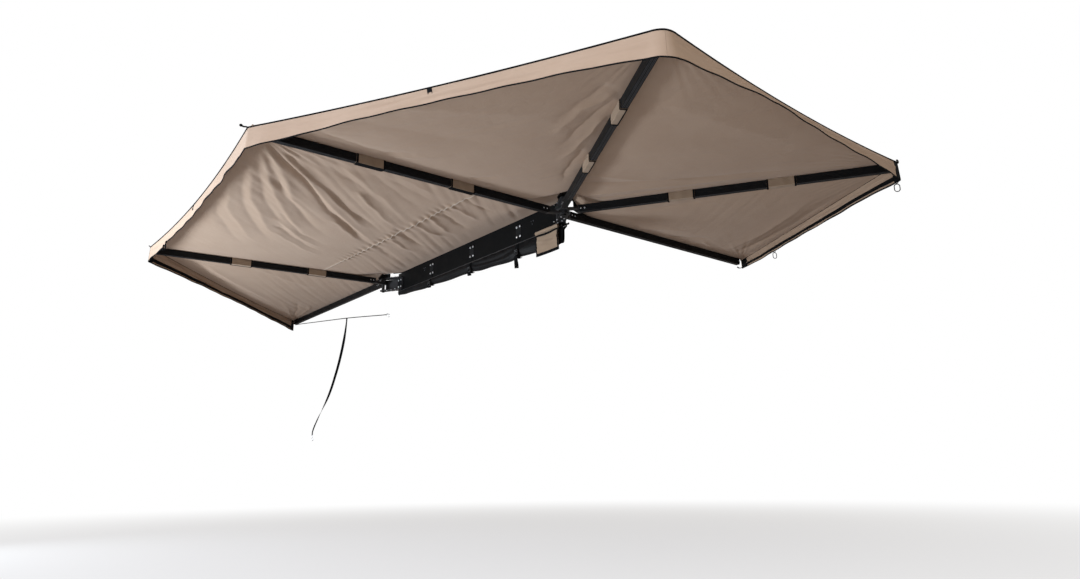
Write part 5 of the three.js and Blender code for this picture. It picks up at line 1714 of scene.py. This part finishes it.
CLIP_WIDTH = 0.03
CLIP_HEIGHT = 0.046
CLIP_CORNER = 0.0145
CLIP_WIRE = 0.0027
CLIP_DROP = 0.003
CLIP_EYE_RADIUS = 0.009
CLIP_EYE_WIRE = 0.0022
CLIP_EYE_LEVEL = 0.0325
CLIP_SWIVEL = [(0.0016, -0.004), (0.0046, -0.003), (0.0046, 0.0026), (0.0016, 0.004)]
CLIP_SWIVEL_LEVEL = 0.0215
CLIP_TAB = [(0.0, 0.038), (0.0012, 0.043), (0.0, 0.048), (0.0, 0.056)]
CLIP_TAB_SECTION = (0.014, 0.0022)


def make_snap_hook(letter, across):
    """A wire snap hook, its small eye and its swivel, in place of a solid. Returns its webbing tab."""
    middle, across = middle_of(f"snap_hook_{letter}"), np.array([*across, 0.0])
    up = np.array([0.0, 0.0, 1.0])
    side = np.cross(up, across)

    def upright(points):
        return middle + points[:, :1] * across + points[:, 1:] * up

    body = upright(rounded_loop(CLIP_WIDTH, CLIP_HEIGHT, CLIP_CORNER, 8) - [0.0, CLIP_DROP])
    eye = upright(round_section(CLIP_EYE_RADIUS, 20) + [0.0, CLIP_EYE_LEVEL])
    pieces = [
        sweep("body", body, round_section(CLIP_WIRE, 8), DARK_ZINC, closed=True, ups=side),
        sweep("eye", eye, round_section(CLIP_EYE_WIRE, 8), DARK_ZINC, closed=True, ups=side),
        turned("swivel", CLIP_SWIVEL, middle + up * CLIP_SWIVEL_LEVEL, (0, 0, 1), DARK_ZINC, 14),
    ]
    dress(joined(f"snap_clip_{letter}", pieces), f"arm_{letter}", "zinc", f"snap_hook_{letter}")
    tab_path = along_curve(upright(np.array(CLIP_TAB)), 10)
    return sweep(f"snap_tab_{letter}", tab_path, flat_section(*CLIP_TAB_SECTION), WEBBING, ups=side)


# Black patches at the ends of some valances: the panel, the arm at that end, and the patch's length
PATCHES = (
    ("canopy_panel_cd", "c", 0.06), ("canopy_panel_cd", "d", 0.1), ("canopy_panel_fe", "f", 0.06),
    ("canopy_panel_fe", "e", 0.06), ("canopy_panel_bc", "c", 0.06),
)
PATCH_INSET = 0.004
PATCH_DEPTHS = (0.04, 0.99)
PATCH_THICK = 0.0042
# A black strip inside some valances, between two shares of their depth
INNER_STRIP_DEPTHS = {
    "canopy_panel_cd": (0.58, 0.83), "canopy_panel_fe": (0.6, 0.86), "canopy_panel_bc": (0.56, 0.72),
}
INNER_STRIP_INSET = 0.01
INNER_STRIP_OUT = -0.0018
INNER_STRIP_THICK = 0.0014
# Where a tab with a ring is sewn to the rim, in x and y
RIM_TABS = {"canopy_panel_ab": (-2.11, 1.61), "canopy_panel_ea": (0.14, 2.1)}
RIM_TAB_WIDTH = 0.025
RIM_TAB_DEPTHS = (0.0, 0.26)
RIM_TAB_THICK = 0.002
RIM_RING_DROP = 0.006
RIM_RING_WIDTH = 0.022
RIM_RING_HEIGHT = 0.018
RIM_RING_WIRE = 0.0017
# Where short ties hang from a hem, as distances along the rim, and their lengths
HEM_TIES = {"canopy_panel_ea": ((0.49, 0.045), (0.6, 0.07))}
HEM_TIE_RADIUS = 0.0042
HEM_TIE_OUT = 0.003
HEM_TIE_SPREAD = 0.001
# The way a hem tie hangs, as (share of its length, outward)
HEM_TIE_ROUTE = ((0.0, 0.0), (0.3, 0.004), (0.7, 0.001), (1.0, 0.006))


def valance_part(name, along, depths, out, columns=16, rows=6):
    """A grid on a valance, between two distances along its rim and two shares of its depth, with the
    rim's outward directions."""
    first, second = PANELS[name][:2]
    _, _, rim_length = rim_line(first, second, np.array([0.0]))
    share = np.linspace(*along, columns) / rim_length
    _, normal = outer_edge(first, second, share)
    grid = valance_points(first, second, share, np.linspace(*depths, rows))
    grid[..., :2] += normal[:, None] * out
    return grid, normal


def make_hem_tie(name, place, length):
    """A short cord tie sewn to a hem."""
    along = (place - HEM_TIE_SPREAD, place + HEM_TIE_SPREAD)
    grid, normal = valance_part(name, along, (0.8, 1.0), HEM_TIE_OUT, 3, 3)
    top, out = grid[1, 1], np.array([*normal[1], 0.0])
    path = [top - [0, 0, length * share] + out * away for share, away in HEM_TIE_ROUTE]
    return sweep("hem_tie", along_curve(path, 12), round_section(HEM_TIE_RADIUS, 8), WEBBING, ups=out)


def make_rim_tab(name, rim_length):
    """A webbing tab sewn to a rim, and the ring that hangs in it."""
    first, second = PANELS[name][:2]
    share = np.linspace(0, 1, 400)
    edge, _ = outer_edge(first, second, share)
    x, y = RIM_TABS[name]
    spot = share[np.argmin(np.hypot(edge[:, 0] - x, edge[:, 1] - y))] * rim_length
    along = (spot - RIM_TAB_WIDTH / 2, spot + RIM_TAB_WIDTH / 2)
    grid, _ = valance_part(name, along, RIM_TAB_DEPTHS, RIM_TAB_THICK, 6, 5)
    tab = sheet_mesh("rim_tab", grid, RIM_TAB_THICK, WEBBING)
    run = grid[-1, 0] - grid[0, 0]
    run /= np.linalg.norm(run)
    up = np.array([0.0, 0.0, 1.0])
    turn = full_turn(20)[:, None]
    ring = grid[3, -1] - up * RIM_RING_DROP
    ring = ring + RIM_RING_WIDTH / 2 * np.cos(turn) * run + RIM_RING_HEIGHT / 2 * np.sin(turn) * up
    section = round_section(RIM_RING_WIRE, 8)
    return [tab, sweep("rim_ring", ring, section, DARK_ZINC, closed=True, ups=np.cross(run, up))]


def make_valance_trims(name):
    """Black patches at a valance's ends, the black strip inside it, the tab on its rim and what hangs from it.
    """
    first, second = PANELS[name][:2]
    _, _, rim_length = rim_line(first, second, np.array([0.0]))
    trims = []
    for panel, letter, reach in PATCHES:
        if panel != name:
            continue
        along = (PATCH_INSET, reach) if letter == first else (rim_length - reach, rim_length - PATCH_INSET)
        grid, _ = valance_part(name, along, PATCH_DEPTHS, 0.0)
        trims.append(sheet_mesh("valance_patch", grid, PATCH_THICK, WEBBING))
    if name in INNER_STRIP_DEPTHS:
        along = (INNER_STRIP_INSET, rim_length - INNER_STRIP_INSET)
        grid, _ = valance_part(name, along, INNER_STRIP_DEPTHS[name], INNER_STRIP_OUT, 110, 5)
        trims.append(sheet_mesh("valance_inner_strip", grid, INNER_STRIP_THICK, WEBBING))
    if name in RIM_TABS:
        trims += make_rim_tab(name, rim_length)
    for place, length in HEM_TIES.get(name, ()):
        trims.append(make_hem_tie(name, place, length))
    if name == "canopy_panel_cd":
        _, normal, _ = rim_line("c", "d", np.array([0.5]))
        trims.append(make_snap_hook("d", normal[0]))
    if name == "canopy_panel_bc":
        trims.append(make_snap_hook("c", arm_direction("c")[0]))
    if trims:
        trim = joined("valance_trims_" + first + second, trims)
        stow(trim, name)


for hub_place in HUBS:
    make_apex_boot(hub_place)
make_edge_gusset("d", -1)
make_edge_gusset("f", 1)
make_front_cheek()
make_front_apron()
for arm in ARMS:
    make_corner_strap(arm)
    make_arm_tape(arm)
for arm in CORNER_TAILS:
    make_corner_tail(arm)
for panel in PANELS:
    make_valance_trims(panel)
